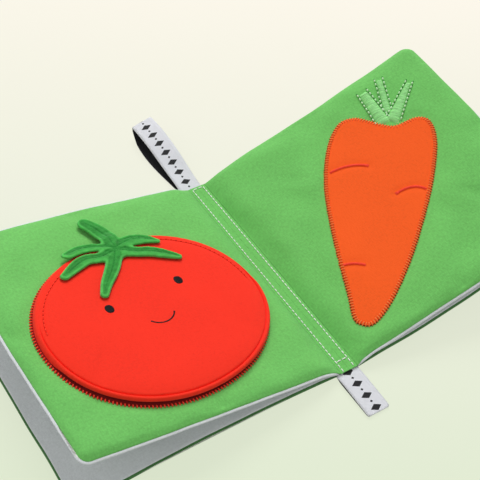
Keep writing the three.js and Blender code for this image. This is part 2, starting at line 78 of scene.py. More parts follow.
def shader(name, **sockets):
    """A material whose Principled sockets are set directly by their names, spaces written as underscores. It comes
    back with its node tree and that shader node."""
    made = bpy.data.materials.new(name)
    made.use_nodes = True
    surface = made.node_tree.nodes["Principled BSDF"]
    fill(made.node_tree, surface, {socket.replace("_", " "): value for socket, value in sockets.items()})
    return made, made.node_tree, surface


def linear(red, green, blue):
    """A screen colour from 0 to 255, as the linear colour that a shader takes."""
    c = np.array([red, green, blue]) / 255
    return (*np.where(c <= 0.04045, c / 12.92, ((c + 0.055) / 1.055) ** 2.4), 1)


def linked(name, data):
    """A new object in the scene."""
    made = bpy.data.objects.new(name, data)
    bpy.context.collection.objects.link(made)
    return made


def stand(name, data, axes, spot):
    """A new object in the scene at a spot, with the given directions as its own right, up and back."""
    made = linked(name, data)
    pose = np.eye(4)
    pose[:3, :3], pose[:3, 3] = np.column_stack(axes), spot
    made.matrix_world = pose.T
    return made


AIM, DISTANCE, LENS = np.array([0.001464, 0.033691, 0]), 0.705717, 83.04
right, up, back = camera_axes(azimuth=-36.10, elevation=46.90, roll=5.0)
eye = stand("camera", bpy.data.cameras.new("camera"), [right, up, back], AIM + back * DISTANCE)
eye.data.lens = LENS
bpy.context.scene.camera = eye

TABLE_REACH, TABLE_TOP, TABLE_SHARE_LIT = 4.0, -3e-4, 0.16
table = bpy.data.meshes.new("table")
table.from_pydata([(x * TABLE_REACH, y * TABLE_REACH, TABLE_TOP) for x, y in ((-1, -1), (1, -1), (1, 1), (-1, 1))],
                  [], [(0, 1, 2, 3)])
table_top = linked("table", table)
table_finish, tree, surface = shader("table", Roughness=0.9, Specular_IOR_Level=0.1,
                                     Emission_Strength=1 - TABLE_SHARE_LIT)
far_way = tuple(np.array([-back[0], -back[1], 0]) / np.hypot(back[0], back[1]))
across = add(tree, "VectorMath", {0: add(tree, "TexCoord", {}, "Object"), 1: far_way}, "Value", operation="DOT_PRODUCT")
depth = add(tree, "MapRange", {"Value": across, "From Min": -0.16, "From Max": 0.34}, "Result")
fade = add(tree, "ValToRGB", {"Fac": depth}, "Color")
stops = fade.node.color_ramp.elements
stops[0].color, stops[1].color = linear(226, 236, 211), linear(252, 246, 234)
stops.new(0.42).color = linear(238, 240, 223)
lit = add(tree, "VectorMath", {"Vector": fade, "Scale": TABLE_SHARE_LIT}, "Vector", operation="SCALE")
fill(tree, surface, {"Base Color": lit, "Emission Color": fade})
table.materials.append(table_finish)


def soft_light(name, spot, size, watts):
    """A square area light of that size at a spot, turned to face the middle of the scene."""
    lamp = bpy.data.lights.new(name, "AREA")
    lamp.size, lamp.energy = size, watts
    away = np.array(spot, float)
    away /= np.linalg.norm(away)
    side = np.cross([0, 1, 0.01], away)
    side /= np.linalg.norm(side)
    stand(name, lamp, [side, np.cross(away, side), away], spot)


soft_light("window", (0.9, 1.7, 2.0), size=1.5, watts=57)
soft_light("fill", (-0.9, -0.3, 0.9), size=0.9, watts=1.5)
room = bpy.data.worlds.new("room")
room.use_nodes = True
fill(room.node_tree, room.node_tree.nodes["Background"], {"Color": (1, 1, 0.99, 1), "Strength": 0.44})
bpy.context.scene.world = room
bpy.context.scene.view_settings.view_transform = "Standard"

# ---- Outer sheet: cover cloth ----
# Dark green cotton, one piece from fore edge to fore edge. It is the outside of both padded cover leaves and runs
# flat under the spine, where two rows of stitches hold it.

LEAF_WIDTH, LEAF_HALF, CORNER = 170.0, 85.0, 7.0  # mm, as everything that is worked out before a mesh is made
SPINE_HALF = 4.6  # half the flat strip between the two covers
COVER_HINGE, PAGE_HINGE = (2.4, 2.0), (0.75, 3.4)  # out from the spine's edge, and height
COVER_LIFT, PAGE_LIFT = {-1: 0.0, 1: 12.1}, {-1: 10.1, 1: 0.0}  # in degrees
COVER_CURL, PAGE_CURL = {-1: 0.0, 1: 12.0}, {-1: 2.0, 1: 12.0}
TWIST = {-1: 0.0, 1: 5.0}
SIDE = {-1: "left", 1: "right"}
CLOTH = 0.5  # the thickness of all cotton
ROOT = 4.0  # how far out from the spine its own level still tells
COVER_AT_ROOT, COVER_THICK = 1.5, 4.4
COVER_MIDDLE, COVER_SEAM = 0.4, 0.85  # where the green cloth turns over the rim and where it ends, of the height
COVER_LEVEL, LINING_LEVEL = 0.0, 1.2  # at the spine, as are all levels
PAGE_LONGER = 0.008  # the share of its length by which a page is longer than its cover


def smooth(x):
    """Rises from 0 to 1 as x does, level at both ends."""
    t = np.clip(x, 0, 1)
    return t * t * (3 - 2 * t)


def half_length(u):
    """Half the leaf's length at u from the spine: full, and round at the fore edge's corners."""
    past = np.maximum(0, u - (LEAF_WIDTH - CORNER))
    return LEAF_HALF - CORNER + np.sqrt(np.maximum(0, CORNER**2 - past**2))


def from_rim(u, v):
    """Distance in from the leaf's three free edges, round at its corners."""
    past_u, past_v = u - (LEAF_WIDTH - CORNER), np.abs(v) - (LEAF_HALF - CORNER)
    straight = np.minimum(LEAF_WIDTH - u, LEAF_HALF - np.abs(v))
    return np.where((past_u > 0) & (past_v > 0), CORNER - np.hypot(past_u, past_v), straight)


def leaf_grid(start, pitch=2.6):
    """Rows out from the spine and columns along it, spaced as a quarter turn at the rim so that it rolls over."""
    roll = CORNER * (1 - np.sin(np.linspace(0, np.pi / 2, 11)))
    inner = np.linspace(start, LEAF_WIDTH - CORNER, int((LEAF_WIDTH - CORNER - start) / pitch), endpoint=False)
    fine = start + (inner - start) * (0.35 + 0.65 * smooth((inner - start) / 40))
    u = np.concatenate([fine, LEAF_WIDTH - roll])[:, None]
    share = np.linspace(-1, 1, int(2 * LEAF_HALF / pitch))[None, :]
    half = half_length(u)
    inside = share[:, 1:-1] * (half - CORNER)
    v = np.hstack([-(half - roll[::-1][None, :]), inside, half - roll[None, :]])
    return np.broadcast_to(u, v.shape), v


def ripple(seed, x, y, wavelength, waves=20):
    """Even, soft unevenness: a sum of level waves of about one wavelength in seeded directions."""
    rng = np.random.default_rng(seed)
    angle, phase = rng.uniform(0, 2 * np.pi, (2, waves))
    number = 2 * np.pi / (wavelength * rng.uniform(0.7, 1.5, waves))
    spread = [n * (np.cos(a) * x + np.sin(a) * y) + p for n, a, p in zip(number, angle, phase)]
    return np.sum(np.sin(spread), 0) / np.sqrt(waves / 2)


def turned_up(x, z, hand, degrees):
    """A point beside a hinge line, turned up about it on that hand."""
    c, s = np.cos(np.radians(degrees)), np.sin(np.radians(degrees))
    return x * c - hand * z * s, hand * x * s + z * c


def on_leaf(hand, u, v, z, page, level):
    """A flat leaf's point carried to its place: turned up about the page's hinge, then about the cover's. Near the
    spine it runs smoothly into the level that its sheet has there, so that the cloth has no step."""
    out, height = PAGE_HINGE if page else COVER_HINGE
    x, y = hand * (u - out), z - height
    if page:
        x, y = turned_up(x, y, hand, PAGE_LIFT[hand])
        x, y = x + hand * (PAGE_HINGE[0] - COVER_HINGE[0]), y + PAGE_HINGE[1] - COVER_HINGE[1]
    x, y = turned_up(x, y, hand, COVER_LIFT[hand])
    x, y = x + hand * (SPINE_HALF + COVER_HINGE[0]), y + COVER_HINGE[1]
    own = smooth(u / ROOT)
    flat = hand * (SPINE_HALF + u)
    return np.stack(np.broadcast_arrays(flat + (x - flat) * own, v, level + (y - level) * own), -1)


def bent(hand, page, u, v):
    """Lift of a leaf's fore edge, with the square of the distance out, and its twist."""
    curl = (PAGE_CURL if page else COVER_CURL)[hand]
    out = np.maximum(0, u) / LEAF_WIDTH
    return curl * out**2 + TWIST[hand] * out * v / LEAF_HALF


def swell(u):
    """Rises smoothly from 0 at the spine's edge to 1 where the leaf has its full thickness."""
    return smooth(u / 16)


def belly(u, v):
    """Rises smoothly from 0 at the rim to 1 over the leaf's flat middle."""
    return smooth(from_rim(u, v) / 14)


def cover_faces(hand, u, v):
    """Lower and upper height of a cover leaf, flat on the table, before its rim is rolled: its thickness swells from
    the spine and is less at the rim. The right one sags near the reader."""
    low = bent(hand, False, u, v) - (4.0 * smooth(u / 60) * smooth(-v / LEAF_HALF) if hand > 0 else 0)
    full = COVER_THICK - 1.0 * (1 - belly(u, v))
    return low, COVER_AT_ROOT + (full - COVER_AT_ROOT) * swell(u) + low


def arch(x):
    """Height of a quarter circle of radius 1 at x from its foot: the root of 1 - (1 - x)^2, and 1 from 1 on."""
    return np.sqrt(np.maximum(0, 1 - (1 - np.clip(x, 0, 1)) ** 2))


def rolled(face, seam, u, v, width):
    """A leaf's face brought to the seam at the rim along a quarter of an ellipse of that width."""
    return face + (seam - face) * (1 - arch(from_rim(u, v) / width))


def cloth_mesh(name, points, faces, flat):
    """A mesh of points in mm and the faces between them, put down in metres. flat is each point's place on the cut
    cloth, kept as the UV map that its weave follows."""
    mesh = bpy.data.meshes.new(name)
    mesh.from_pydata((points * 1e-3).tolist(), [], [face for kind in faces for face in kind.tolist()])
    corners = np.concatenate([kind.ravel() for kind in faces])
    layer = mesh.uv_layers.new(name="cloth")
    layer.data.foreach_set("uv", (flat[corners] * 1e-3).astype(np.float32).ravel())
    mesh.shade_smooth()
    return linked(name, mesh)


def quads_of(number):
    """The four corners of each cell of a grid of numbered points."""
    return np.stack([number[:-1, :-1], number[1:, :-1], number[1:, 1:], number[:-1, 1:]], -1).reshape(-1, 4)


def sewn(name, grid, flat, flip=False, disc=False):
    """A sheet from a grid of points. Its faces look along (row step) x (column step), or the other way if flipped.
    The rows of a disc run in from its edge: the last is joined to the first, and one point more closes its middle."""
    rows, columns = grid.shape[:2]
    number = np.arange(rows * columns).reshape(rows, columns)
    faces, points, places = [quads_of(number)], grid.reshape(-1, 3), flat.reshape(-1, 2)
    if disc:
        number = np.vstack([number, number[:1]])
        rim = number[:, -1]
        faces = [quads_of(number), np.stack([rim[:-1], rim[1:], np.full(rows, rows * columns)], -1)]
        points, places = np.vstack([points, grid[:, -1].mean(0)]), np.vstack([places, flat[:, -1].mean(0)])
    return cloth_mesh(name, points, [kind[:, ::-1] if flip else kind for kind in faces], places)


def thicken(piece, thickness, *finishes):
    """Gives a surface its cloth's thickness on the inside."""
    for finish in finishes:
        piece.data.materials.append(finish)
    wall = piece.modifiers.new("cloth", "SOLIDIFY")
    wall.thickness, wall.offset = thickness * 1e-3, -1
    return wall


def maths(tree, operation, *values):
    """What a maths node puts out for those values."""
    return add(tree, "Math", dict(enumerate(values)), operation=operation)


def on_cloth(tree):
    """The place on the cut cloth, from the UV map."""
    return add(tree, "UVMap", {}, "UV", uv_map="cloth")


def stretched_noise(tree, scale, detail=2):
    """Noise over the cut cloth, stretched by a scale of its own along and across."""
    along = add(tree, "Mapping", {"Vector": on_cloth(tree), "Scale": scale}, "Vector")
    return add(tree, "TexNoise", {"Vector": along, "Scale": 1, "Detail": detail}, "Fac")


def bumped(tree, surface, **sockets):
    """Lifts a finish by a Height that changes over it, as far as a Distance in metres, by the share of Strength."""
    fill(tree, surface, {"Normal": add(tree, "Bump", sockets, "Normal")})


def weave_group():
    """Plain weave: warp and weft as crossed waves of the thread pitch, with slubs that run along the threads and
    slow blotches. It puts out the tinted colour and the height of the threads."""
    group = bpy.data.node_groups.new("weave", "ShaderNodeTree")
    for way, name, kind in (("INPUT", "Color", "Color"), ("INPUT", "Pitch", "Float"), ("INPUT", "Slub", "Float"),
                            ("INPUT", "Blotch", "Float"), ("OUTPUT", "Color", "Color"), ("OUTPUT", "Height", "Float")):
        group.interface.new_socket(name, in_out=way, socket_type="NodeSocket" + kind)
    given, put = group.nodes.new("NodeGroupInput").outputs, group.nodes.new("NodeGroupOutput")
    place = add(group, "SeparateXYZ", {"Vector": on_cloth(group)}).node.outputs
    waves = [maths(group, "SINE", maths(group, "MULTIPLY", maths(group, "DIVIDE", place[axis], given["Pitch"]),
                                        2 * np.pi)) for axis in (0, 1)]
    threads = maths(group, "MULTIPLY_ADD", maths(group, "MULTIPLY", *waves), 0.5, 0.5)
    warp, weft, cloud = (stretched_noise(group, scale, 3) for scale in ((420, 1000, 1), (1000, 420, 1), (28, 28, 1)))
    slub = maths(group, "SUBTRACT", maths(group, "ADD", warp, weft), 1.0)
    blotch = maths(group, "SUBTRACT", cloud, 0.5)
    tone = maths(group, "ADD", maths(group, "MULTIPLY", slub, given["Slub"]),
                 maths(group, "MULTIPLY", blotch, given["Blotch"]))
    value = maths(group, "ADD", maths(group, "MULTIPLY", tone, 4.0), 1.0)
    tint = add(group, "HueSaturation", {"Value": value, "Color": given["Color"]}, "Color")
    fill(group, put, {"Color": tint, "Height": maths(group, "ADD", threads, maths(group, "MULTIPLY", slub, 2.0))})
    return group


weave = weave_group()


def woven(name, colour, pitch=0.0005, slub=0.12, blotch=0.08, relief=0.0001, nap=0.12):
    """A cotton finish: the weave tints its colour and lifts its threads, and a little sheen makes its nap."""
    finish, tree, surface = shader(name, Roughness=0.88, Specular_IOR_Level=0.2, Sheen_Weight=nap, Sheen_Roughness=0.5)
    cloth = add(tree, "Group", {}, node_tree=weave).node
    fill(tree, cloth, {"Color": linear(*colour), "Pitch": pitch, "Slub": slub, "Blotch": blotch})
    fill(tree, surface, {"Base Color": cloth.outputs["Color"]})
    bumped(tree, surface, Height=cloth.outputs["Height"], Distance=relief, Strength=0.6)
    return finish


def edge_shift(hand, page, u, v):
    """How far a leaf's soft edge strays from its pattern: a slight waver all round, a page a little longer than its
    cover, a pull inwards at the left page's near corner and on the left cover's near edge, a bow outwards on
    the left page's far edge, and a right page that reaches out a little at its far corner."""
    near = np.exp(-from_rim(u, v) / 8) * swell(u)
    seed = (21 if page else 11) + hand
    du, dv = (0.12 * near * ripple(seed + k, u, v, 38) for k in (0, 1))
    if page:
        dv = dv + PAGE_LONGER * v
    if hand < 0 and page:
        out = np.clip(u / LEAF_WIDTH, 0, 1)
        bow = 1.2 - 1.8 * out + 2.9 * np.sin(np.pi * out)
        dv = dv + bow * swell(u) * np.exp(-(LEAF_HALF - v) / 20)
        du = du - 1.8 * smooth(-v / LEAF_HALF) * np.exp(-(LEAF_WIDTH - u) / 20)
    if hand > 0 and page:
        du = du + 1.8 * smooth(v / LEAF_HALF) * np.exp(-(LEAF_WIDTH - u) / 20)
        dv = dv + 1.8 * smooth(u / 40) * np.exp(-(LEAF_HALF - v) / 20)
    if hand < 0 and not page:
        dv = dv + 1.8 * np.sin(np.pi * np.clip(u / LEAF_WIDTH, 0, 1)) * np.exp(-(v + LEAF_HALF) / 20)
    return du, dv


def inward(u, v):
    """Unit direction in from the nearest rim, along both axes: the slope of the distance from the rim."""
    e = 0.05
    return ((from_rim(u + e, v) - from_rim(u - e, v)) / (2 * e), (from_rim(u, v + e) - from_rim(u, v - e)) / (2 * e))


def over_the_rim(u, v, z, top, inset=1.5, steps=4):
    """Carries a sheet on round its rim. As a goes from 0 to a quarter turn, its further rows and columns stand
    inset * (1 - cos a) in from the rim, at z + (top - z) * sin a. On the flat spine they run on outwards instead."""
    u, v, z, top = (np.pad(one, ((0, steps), (steps, steps)), "edge") for one in (u, v, z, top))
    rows, columns = (np.arange(size) for size in z.shape)
    past = np.maximum(rows[:, None] - rows[-1], np.abs(columns - columns[-1] / 2) - columns[-1] / 2) + steps
    a = np.clip(past, 0, steps) / steps * np.pi / 2
    in_u, in_v = inward(u, v)
    shift = inset * (1 - np.cos(a)) * smooth(u / 4) - 0.3 * a * (1 - smooth(u / 4))
    return u + in_u * shift, v + in_v * shift, z + (top - z) * np.sin(a)


def crossed_grid():
    """The leaf's grid with rows before it from the spine's middle to its edge, for a sheet that crosses the spine."""
    u, v = leaf_grid(0.0)
    lead = np.linspace(-SPINE_HALF, 0, 6, endpoint=False)[:, None]
    return (np.vstack([np.broadcast_to(lead, (len(lead), u.shape[1])), u]),
            np.vstack([np.broadcast_to(v[:1], (len(lead), v.shape[1])), v]))


def drawn_in(u, v, by):
    """A sheet's place where its rim is drawn in from the leaf's own by that much, and its inside less and less, by
    exp(-d^2) of the distance d from the rim."""
    in_u, in_v = inward(u, v)
    shift = by * np.exp(-(from_rim(u, v) / 4) ** 2) * swell(u * 2)
    return u + in_u * shift, v + in_v * shift


def leaf_sheet(name, hand, page, u, v, z, level, flip, finish, drawn=0.0):
    """One sheet of a leaf with its cloth's thickness. Its rim strays from the pattern, and is drawn in if need be."""
    du, dv = edge_shift(hand, page, u, v)
    flat = np.stack([u, v], -1)
    u, v = drawn_in(u, v, drawn)
    sheet = sewn(name, on_leaf(hand, u + du, v + dv, z, page, level), flat, flip)
    thicken(sheet, CLOTH, finish)
    return sheet


dark_green = woven("dark green cotton", (70, 118, 66))
for hand in (-1, 1):
    u, v = crossed_grid()
    low, high = cover_faces(hand, u, v)
    middle, seam = (low + share * (high - low) for share in (COVER_MIDDLE, COVER_SEAM))
    u, v, z = over_the_rim(u, v, rolled(low, middle, u, v, width=1.4), seam, inset=1.0)
    cover_cloth = leaf_sheet(f"{SIDE[hand]}_cover_cloth_sewn", hand, False, u, v, z, COVER_LEVEL, hand > 0, dark_green)
    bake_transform(cover_cloth)
    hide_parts(f"{SIDE[hand]}_cover_cloth", "spine_cover_cloth")

# ---- Cover lining ----
# White cotton, the inside of both cover leaves. At the rim it is rolled down over the wadding to its seam with the
# green cloth, which shows as a narrow green line below it.

white_cotton = woven("white cotton", (224, 227, 231), slub=0.05, blotch=0.03)
for hand in (-1, 1):
    u, v = crossed_grid()
    low, high = cover_faces(hand, u, v)
    seam = low + COVER_SEAM * (high - low)
    high = high + 0.22 * ripple(31 + hand, u, v, 34) * swell(u) * belly(u, v)
    lining = leaf_sheet(f"{SIDE[hand]}_cover_lining_sewn", hand, False, u, v, rolled(high, seam, u, v, width=1.5),
                        LINING_LEVEL, hand < 0, white_cotton, drawn=0.9)
    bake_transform(lining)
    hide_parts(f"{SIDE[hand]}_cover_lining", "spine_cover_lining")

# ---- Page sheet ----
# Green cotton in front and white cotton behind, sewn right side out so that the white rolls up round the rim as a
# pale band. It crosses the spine flat between the stitch rows, and each page turns on a fold of its own there.

page_green = woven("page green cotton", (115, 198, 100), slub=0.09, blotch=0.05)
TOMATO_CENTRE = np.array([83.7, -10.0])
TOMATO_HALF = (71.2, 60.5, 61.0)  # across, up and down
TOMATO_TURN = -0.206  # of its long axis from level, in radians
SQUARENESS = 2.09
PAGE_JOIN = 1.3  # from the spine's edge to where a page leaf's own cloth takes over from the spine's strip
FACE_LEVEL, BACK_LEVEL = 3.4, 1.25
FACE_TOP, BACK_BOTTOM, BACK_AT_ROOT = 9.2, 4.8, 1.9
PAGE_MIDDLE, PAGE_SEAM = 0.45, 0.86  # as on the cover, with the white cloth in the green one's place


def tomato_axes(du, dv):
    """Distances from the tomato's middle along its own tilted axes, and its half height on that side."""
    c, s = np.cos(TOMATO_TURN), np.sin(TOMATO_TURN)
    y = dv * c - du * s
    return np.abs(du * c + dv * s), np.abs(y), np.where(y > 0, TOMATO_HALF[1], TOMATO_HALF[2])


def tomato_ring(u, v):
    """0 at the tomato's middle and 1 at its edge, along a slightly squared and tilted ellipse."""
    x, y, tall = tomato_axes(u - TOMATO_CENTRE[0], v - TOMATO_CENTRE[1])
    return ((x / TOMATO_HALF[0]) ** SQUARENESS + (y / tall) ** SQUARENESS) ** (1 / SQUARENESS)


def page_faces(hand, u, v):
    """Lower and upper height of a page leaf, flat on its cover, before its rim is rolled. The wadding lifts the face
    sharply beside the spine."""
    steep = 1 - np.clip(1 - (u - 1.2) / (13 if hand < 0 else 9), 0, 1) ** 2.3
    plump = 0.5 * swell(u) + 0.5 * (steep if hand < 0 else 0.4 * steep + 0.6 * smooth(u / 45))
    thin = 1 - belly(u, v)
    full = FACE_TOP - 0.5 * thin - 2.1 * (1 - arch(from_rim(u, v) / 12))
    low = BACK_AT_ROOT + (BACK_BOTTOM + 0.1 * thin - BACK_AT_ROOT) * swell(u)
    high = FACE_LEVEL + (full - FACE_LEVEL) * plump
    return low + bent(hand, True, u, v), high + bent(hand, True, u, v)


def page_relief(hand, u, v):
    """Softness of a page's face: slow swells, and short puckers beside the rim and the spine."""
    under = smooth((tomato_ring(u, v) - 1.0) / 0.12) if hand < 0 else smooth((carrot_gap(u, v) - 1) / 6)
    slow = 0.45 * ripple(41 + hand, u, v, 34) * belly(u, v)
    edge = 0.09 * ripple(43 + hand, u, v, 13) * np.exp(-from_rim(u, v) / 6)
    root = 0.16 * ripple(45 + hand, u * 0.3, v, 11) * np.exp(-((u - 7) / 5) ** 2)
    return (slow + edge + root + puckered(u, v) * smooth(from_rim(u, v) / 3)) * swell(u + 3) * under


CARROT_EDGE = np.array([(18, -66), (24, -71), (40, -66), (65, -51), (91, -31.5), (115, -11), (135, 10.5), (142, 26),
                        (137, 34), (122, 38.5), (113, 51.5), (106, 61), (95, 63), (78, 51), (58.5, 26), (39, -12),
                        (25, -44.5), (17.8, -60)])


def through(p0, p1, p2, p3, steps, **ends):
    """The uniform Catmull-Rom curve from each p1 to its p2, in that many steps."""
    t = np.linspace(0, 1, steps, **ends)[None, :, None]
    return 0.5 * (2 * p1 + (p2 - p0) * t + (2 * p0 - 5 * p1 + 4 * p2 - p3) * t**2 + (3 * p1 - p0 - 3 * p2 + p3) * t**3)


def closed_curve(points, steps):
    """A smooth closed line through the points, in that many steps from point to point."""
    around = (np.roll(points, k, 0)[:, None, :] for k in (1, 0, -1, -2))
    return through(*around, steps, endpoint=False).reshape(-1, 2)


def carrot_gap(u, v):
    """Distance outside the carrot's edge, to the nearest of its points, and 0 inside it: there a line straight out
    crosses the edge an odd number of times."""
    edge = closed_curve(CARROT_EDGE, 5)
    near = np.min([np.hypot(u - x, v - y) for x, y in edge], 0)
    crossed = [((y > v) != (b > v)) & (u < x + (a - x) * (v - y) / (b - y if b != y else 1))
               for (x, y), (a, b) in zip(edge, np.roll(edge, -1, 0))]
    return np.where(np.sum(crossed, 0) % 2 == 1, 0, near)


def inflated(steps=42, pressure=4.0, cap=0.7):
    """Cloth simulation of one padded leaf: two flat squares joined at their rim are blown up, and what is left of the
    upper one's height beside its own average over nine by nine points is the puckering, no more than the cap. It
    comes back on an even grid."""
    side = np.linspace(-1, 1, steps)
    x, y = np.meshgrid(side, side, indexing="ij")
    bulge = 0.0022 * ((1 - x**2) * (1 - y**2)) ** 0.5
    upper = np.arange(steps**2).reshape(steps, steps)
    lower = upper + steps**2
    lower[[0, -1]], lower[:, [0, -1]] = upper[[0, -1]], upper[:, [0, -1]]
    quads = np.concatenate([quads_of(upper), quads_of(lower)[:, ::-1]])
    size = LEAF_HALF * 1e-3
    points = np.concatenate([np.stack([x * size, y * size, way * bulge], -1).reshape(-1, 3) for way in (1, -1)])
    used, quads = np.unique(quads, return_inverse=True)
    mesh = bpy.data.meshes.new("leaf_to_blow_up")
    mesh.from_pydata(points[used].tolist(), [], quads.reshape(-1, 4).tolist())
    pad = linked("leaf_to_blow_up", mesh)
    cloth = pad.modifiers.new("cloth", "CLOTH").settings
    cloth.use_pressure, cloth.uniform_pressure_force = True, pressure
    cloth.effector_weights.gravity = 0
    cloth.quality, cloth.mass = 6, 0.15
    for frame_number in range(1, 21):
        bpy.context.scene.frame_set(frame_number)
    blown = pad.evaluated_get(bpy.context.evaluated_depsgraph_get()).to_mesh()
    place = np.empty(len(used) * 3, np.float32)
    blown.vertices.foreach_get("co", place)
    bpy.data.objects.remove(pad)
    bpy.data.meshes.remove(mesh)
    bpy.context.scene.frame_set(1)
    height = place.reshape(-1, 3)[:steps**2, 2].reshape(steps, steps).astype(float) * 1e3
    wide = np.pad(height, 4, "reflect", reflect_type="odd")
    average = np.lib.stride_tricks.sliding_window_view(wide, (9, 9)).mean((2, 3))
    return np.clip(height - average, -cap, cap)


puckers = inflated()


def puckered(u, v):
    """The simulated puckering at a leaf's point, straight between the four grid points round it."""
    last = len(puckers) - 1
    a, b = (np.clip(place, 0, 1 - 1e-9) * last for place in (u / LEAF_WIDTH, (v + LEAF_HALF) / (2 * LEAF_HALF)))
    i, j = a.astype(int), b.astype(int)
    a, b = a - i, b - j
    return ((puckers[i, j] * (1 - a) + puckers[i + 1, j] * a) * (1 - b)
            + (puckers[i, j + 1] * (1 - a) + puckers[i + 1, j + 1] * a) * b)


for hand in (-1, 1):
    body, cover = f"{SIDE[hand]}_page", f"{SIDE[hand]}_cover"
    u, v = leaf_grid(PAGE_JOIN)
    low, high = page_faces(hand, u, v)
    middle, seam = (low + share * (high - low) for share in (PAGE_MIDDLE, PAGE_SEAM))
    fold = (hand * (SPINE_HALF + PAGE_JOIN) * 1e-3, 0, 0), (hand * 0.0085, 0, 0)

    z = rolled(high + page_relief(hand, u, v), seam, u, v, width=1.7)
    face = leaf_sheet(f"{body}_face_sewn", hand, True, u, v, z, FACE_LEVEL, hand < 0, page_green,
                      drawn=1.35 - (0.95 * smooth(v / 20) if hand > 0 else 0))
    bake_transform(face)
    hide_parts(f"{body}_face")

    u, v, z = over_the_rim(u, v, rolled(low, middle, u, v, width=2.2), seam)
    white_back = leaf_sheet(f"{body}_back_sewn", hand, True, u, v, z, BACK_LEVEL, hand > 0, white_cotton)
    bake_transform(white_back)
    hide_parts(f"{body}_back")

    u, v = np.broadcast_arrays(np.linspace(-SPINE_HALF, PAGE_JOIN, 14)[:, None], leaf_grid(PAGE_JOIN)[1][:1])
    low, high = page_faces(hand, u, v)
    for part, z, level, node, finish, slot in (
            ("face", high, FACE_LEVEL, "spine_page_face", page_green, "green_cloth"),
            ("backing", low, BACK_LEVEL, "spine_page_back", white_cotton, "white_cloth")):
        strap = sewn(f"spine_{part}_{SIDE[hand]}", on_leaf(hand, u, v * (1 + PAGE_LONGER), z, True, level),
                     np.stack([u, v], -1), (hand < 0) == (part == "face"))
        thicken(strap, CLOTH, finish)
        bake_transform(strap)
        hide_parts(node)

# ---- Wadding ----
# Polyester wadding in every leaf, a soft closed pad that stops short of the seams and of the spine. It is hidden
# unless a leaf's root gapes.

fluff = woven("wadding", (232, 232, 228), pitch=0.003, slub=0.04, blotch=0.06, relief=0.0006)
PAD_START, PAD_INSET, PAD_PITCH = 9.0, 2.2, 6.0  # from the spine's edge, and all round from the pattern


def closed(name, top, bottom, flat, flip, finish):
    """A closed form: an upper and a lower grid, with one flat place for both, run into a ring along each row."""
    ring, flat = (np.concatenate([one, other[:, ::-1], one[:, :1]], 1) for one, other in ((top, bottom), (flat, flat)))
    made = sewn(name, ring, flat, flip)
    made.data.materials.append(finish)
    return made


for hand in (-1, 1):
    for word, page in (("cover", False), ("page", True)):
        u, v = leaf_grid(PAD_START, PAD_PITCH)
        inset = 1 - PAD_INSET / LEAF_WIDTH
        u, v = PAD_START + (u - PAD_START) * inset, v * inset
        low, high = (page_faces if page else cover_faces)(hand, u, v)
        gap = smooth((from_rim(u, v) - 3) / 5) * smooth((u - PAD_START) / 6 + 0.2) * ((high - low) / 2 - 1.5)
        top, bottom = (on_leaf(hand, u, v, (low + high) / 2 + way * gap, page, 0) for way in (1, -1))
        wadding = closed(f"{SIDE[hand]}_{word}_pad", top, bottom, np.stack([u, v], -1), hand < 0, fluff)
        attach(wadding, f"{SIDE[hand]}_{word}")
        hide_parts(f"{SIDE[hand]}_{word}_wadding")

# ---- Thread rows of the spine ----
# White sewing thread through every layer of the spine, in two long rows with a short cross row at either end. The
# same stitches show again on the outside of the cover.


def thread_mesh(name, finish, place, start, end, height, radius, sink=0.6):
    """Short threads from start to end points in the cloth's own plane. The middle line of each is straight between
    them, at height(u, v) plus radius * (0.9 - (0.9 + sink) * (2s - 1)^6), so that it comes out of the cloth and goes
    back in; place carries it onto the book. Each is a six-sided tube of radius * (1 - (2s - 1)^8)^(1/2)."""
    s = np.array([0.03, 0.1, 0.3, 0.7, 0.9, 0.97])
    line = start[:, None] + (end - start)[:, None] * s[None, :, None]
    bow = (2 * s - 1) ** 6
    u, v = line[..., 0], line[..., 1]
    z = height(u, v) + radius * (0.9 - (0.9 + sink) * bow)
    middle = place(u, v, z)
    above = place(u, v, z + 0.5) - middle
    along = np.gradient(middle, axis=1)
    side = np.cross(along, above)
    side /= np.linalg.norm(side, axis=-1, keepdims=True)
    above = np.cross(side, along)
    above /= np.linalg.norm(above, axis=-1, keepdims=True)
    turn = np.arange(6) * np.pi / 3
    thick = radius * np.sqrt(1 - (2 * s - 1) ** 8)
    tube = middle[:, :, None] + thick[None, :, None, None] * (
        np.cos(turn)[:, None] * side[:, :, None] + np.sin(turn)[:, None] * above[:, :, None])
    count = len(start)
    poles = middle[:, [0, -1]] + (middle[:, [0, -1]] - middle[:, [1, -2]]) * 0.4
    points = np.concatenate([tube.reshape(count, -1, 3), poles], 1)
    ring, around = np.arange(0, 30, 6)[:, None], np.arange(6)
    following = (around + 1) % 6
    quads = np.stack([ring + 6 + around, ring + 6 + following, ring + following, ring + around], -1)
    first = np.stack([around, following, np.full(6, 36)], -1)
    last = np.stack([30 + following, 30 + around, np.full(6, 37)], -1)
    offset = (np.arange(count) * 38)[:, None, None]
    faces = [(kind.reshape(-1, kind.shape[-1])[None] + offset).reshape(-1, kind.shape[-1])
             for kind in (quads, first, last)]
    length = np.linalg.norm(end - start, axis=1)
    flat = np.concatenate([np.stack(np.meshgrid(s, turn * radius, indexing="ij"), -1).reshape(36, 2), [[0, 0], [1, 0]]])
    flat = flat * np.stack([length, np.ones(count)], -1)[:, None]
    made = cloth_mesh(name, points.reshape(-1, 3), faces, flat.reshape(-1, 2))
    made.data.materials.append(finish)
    return made


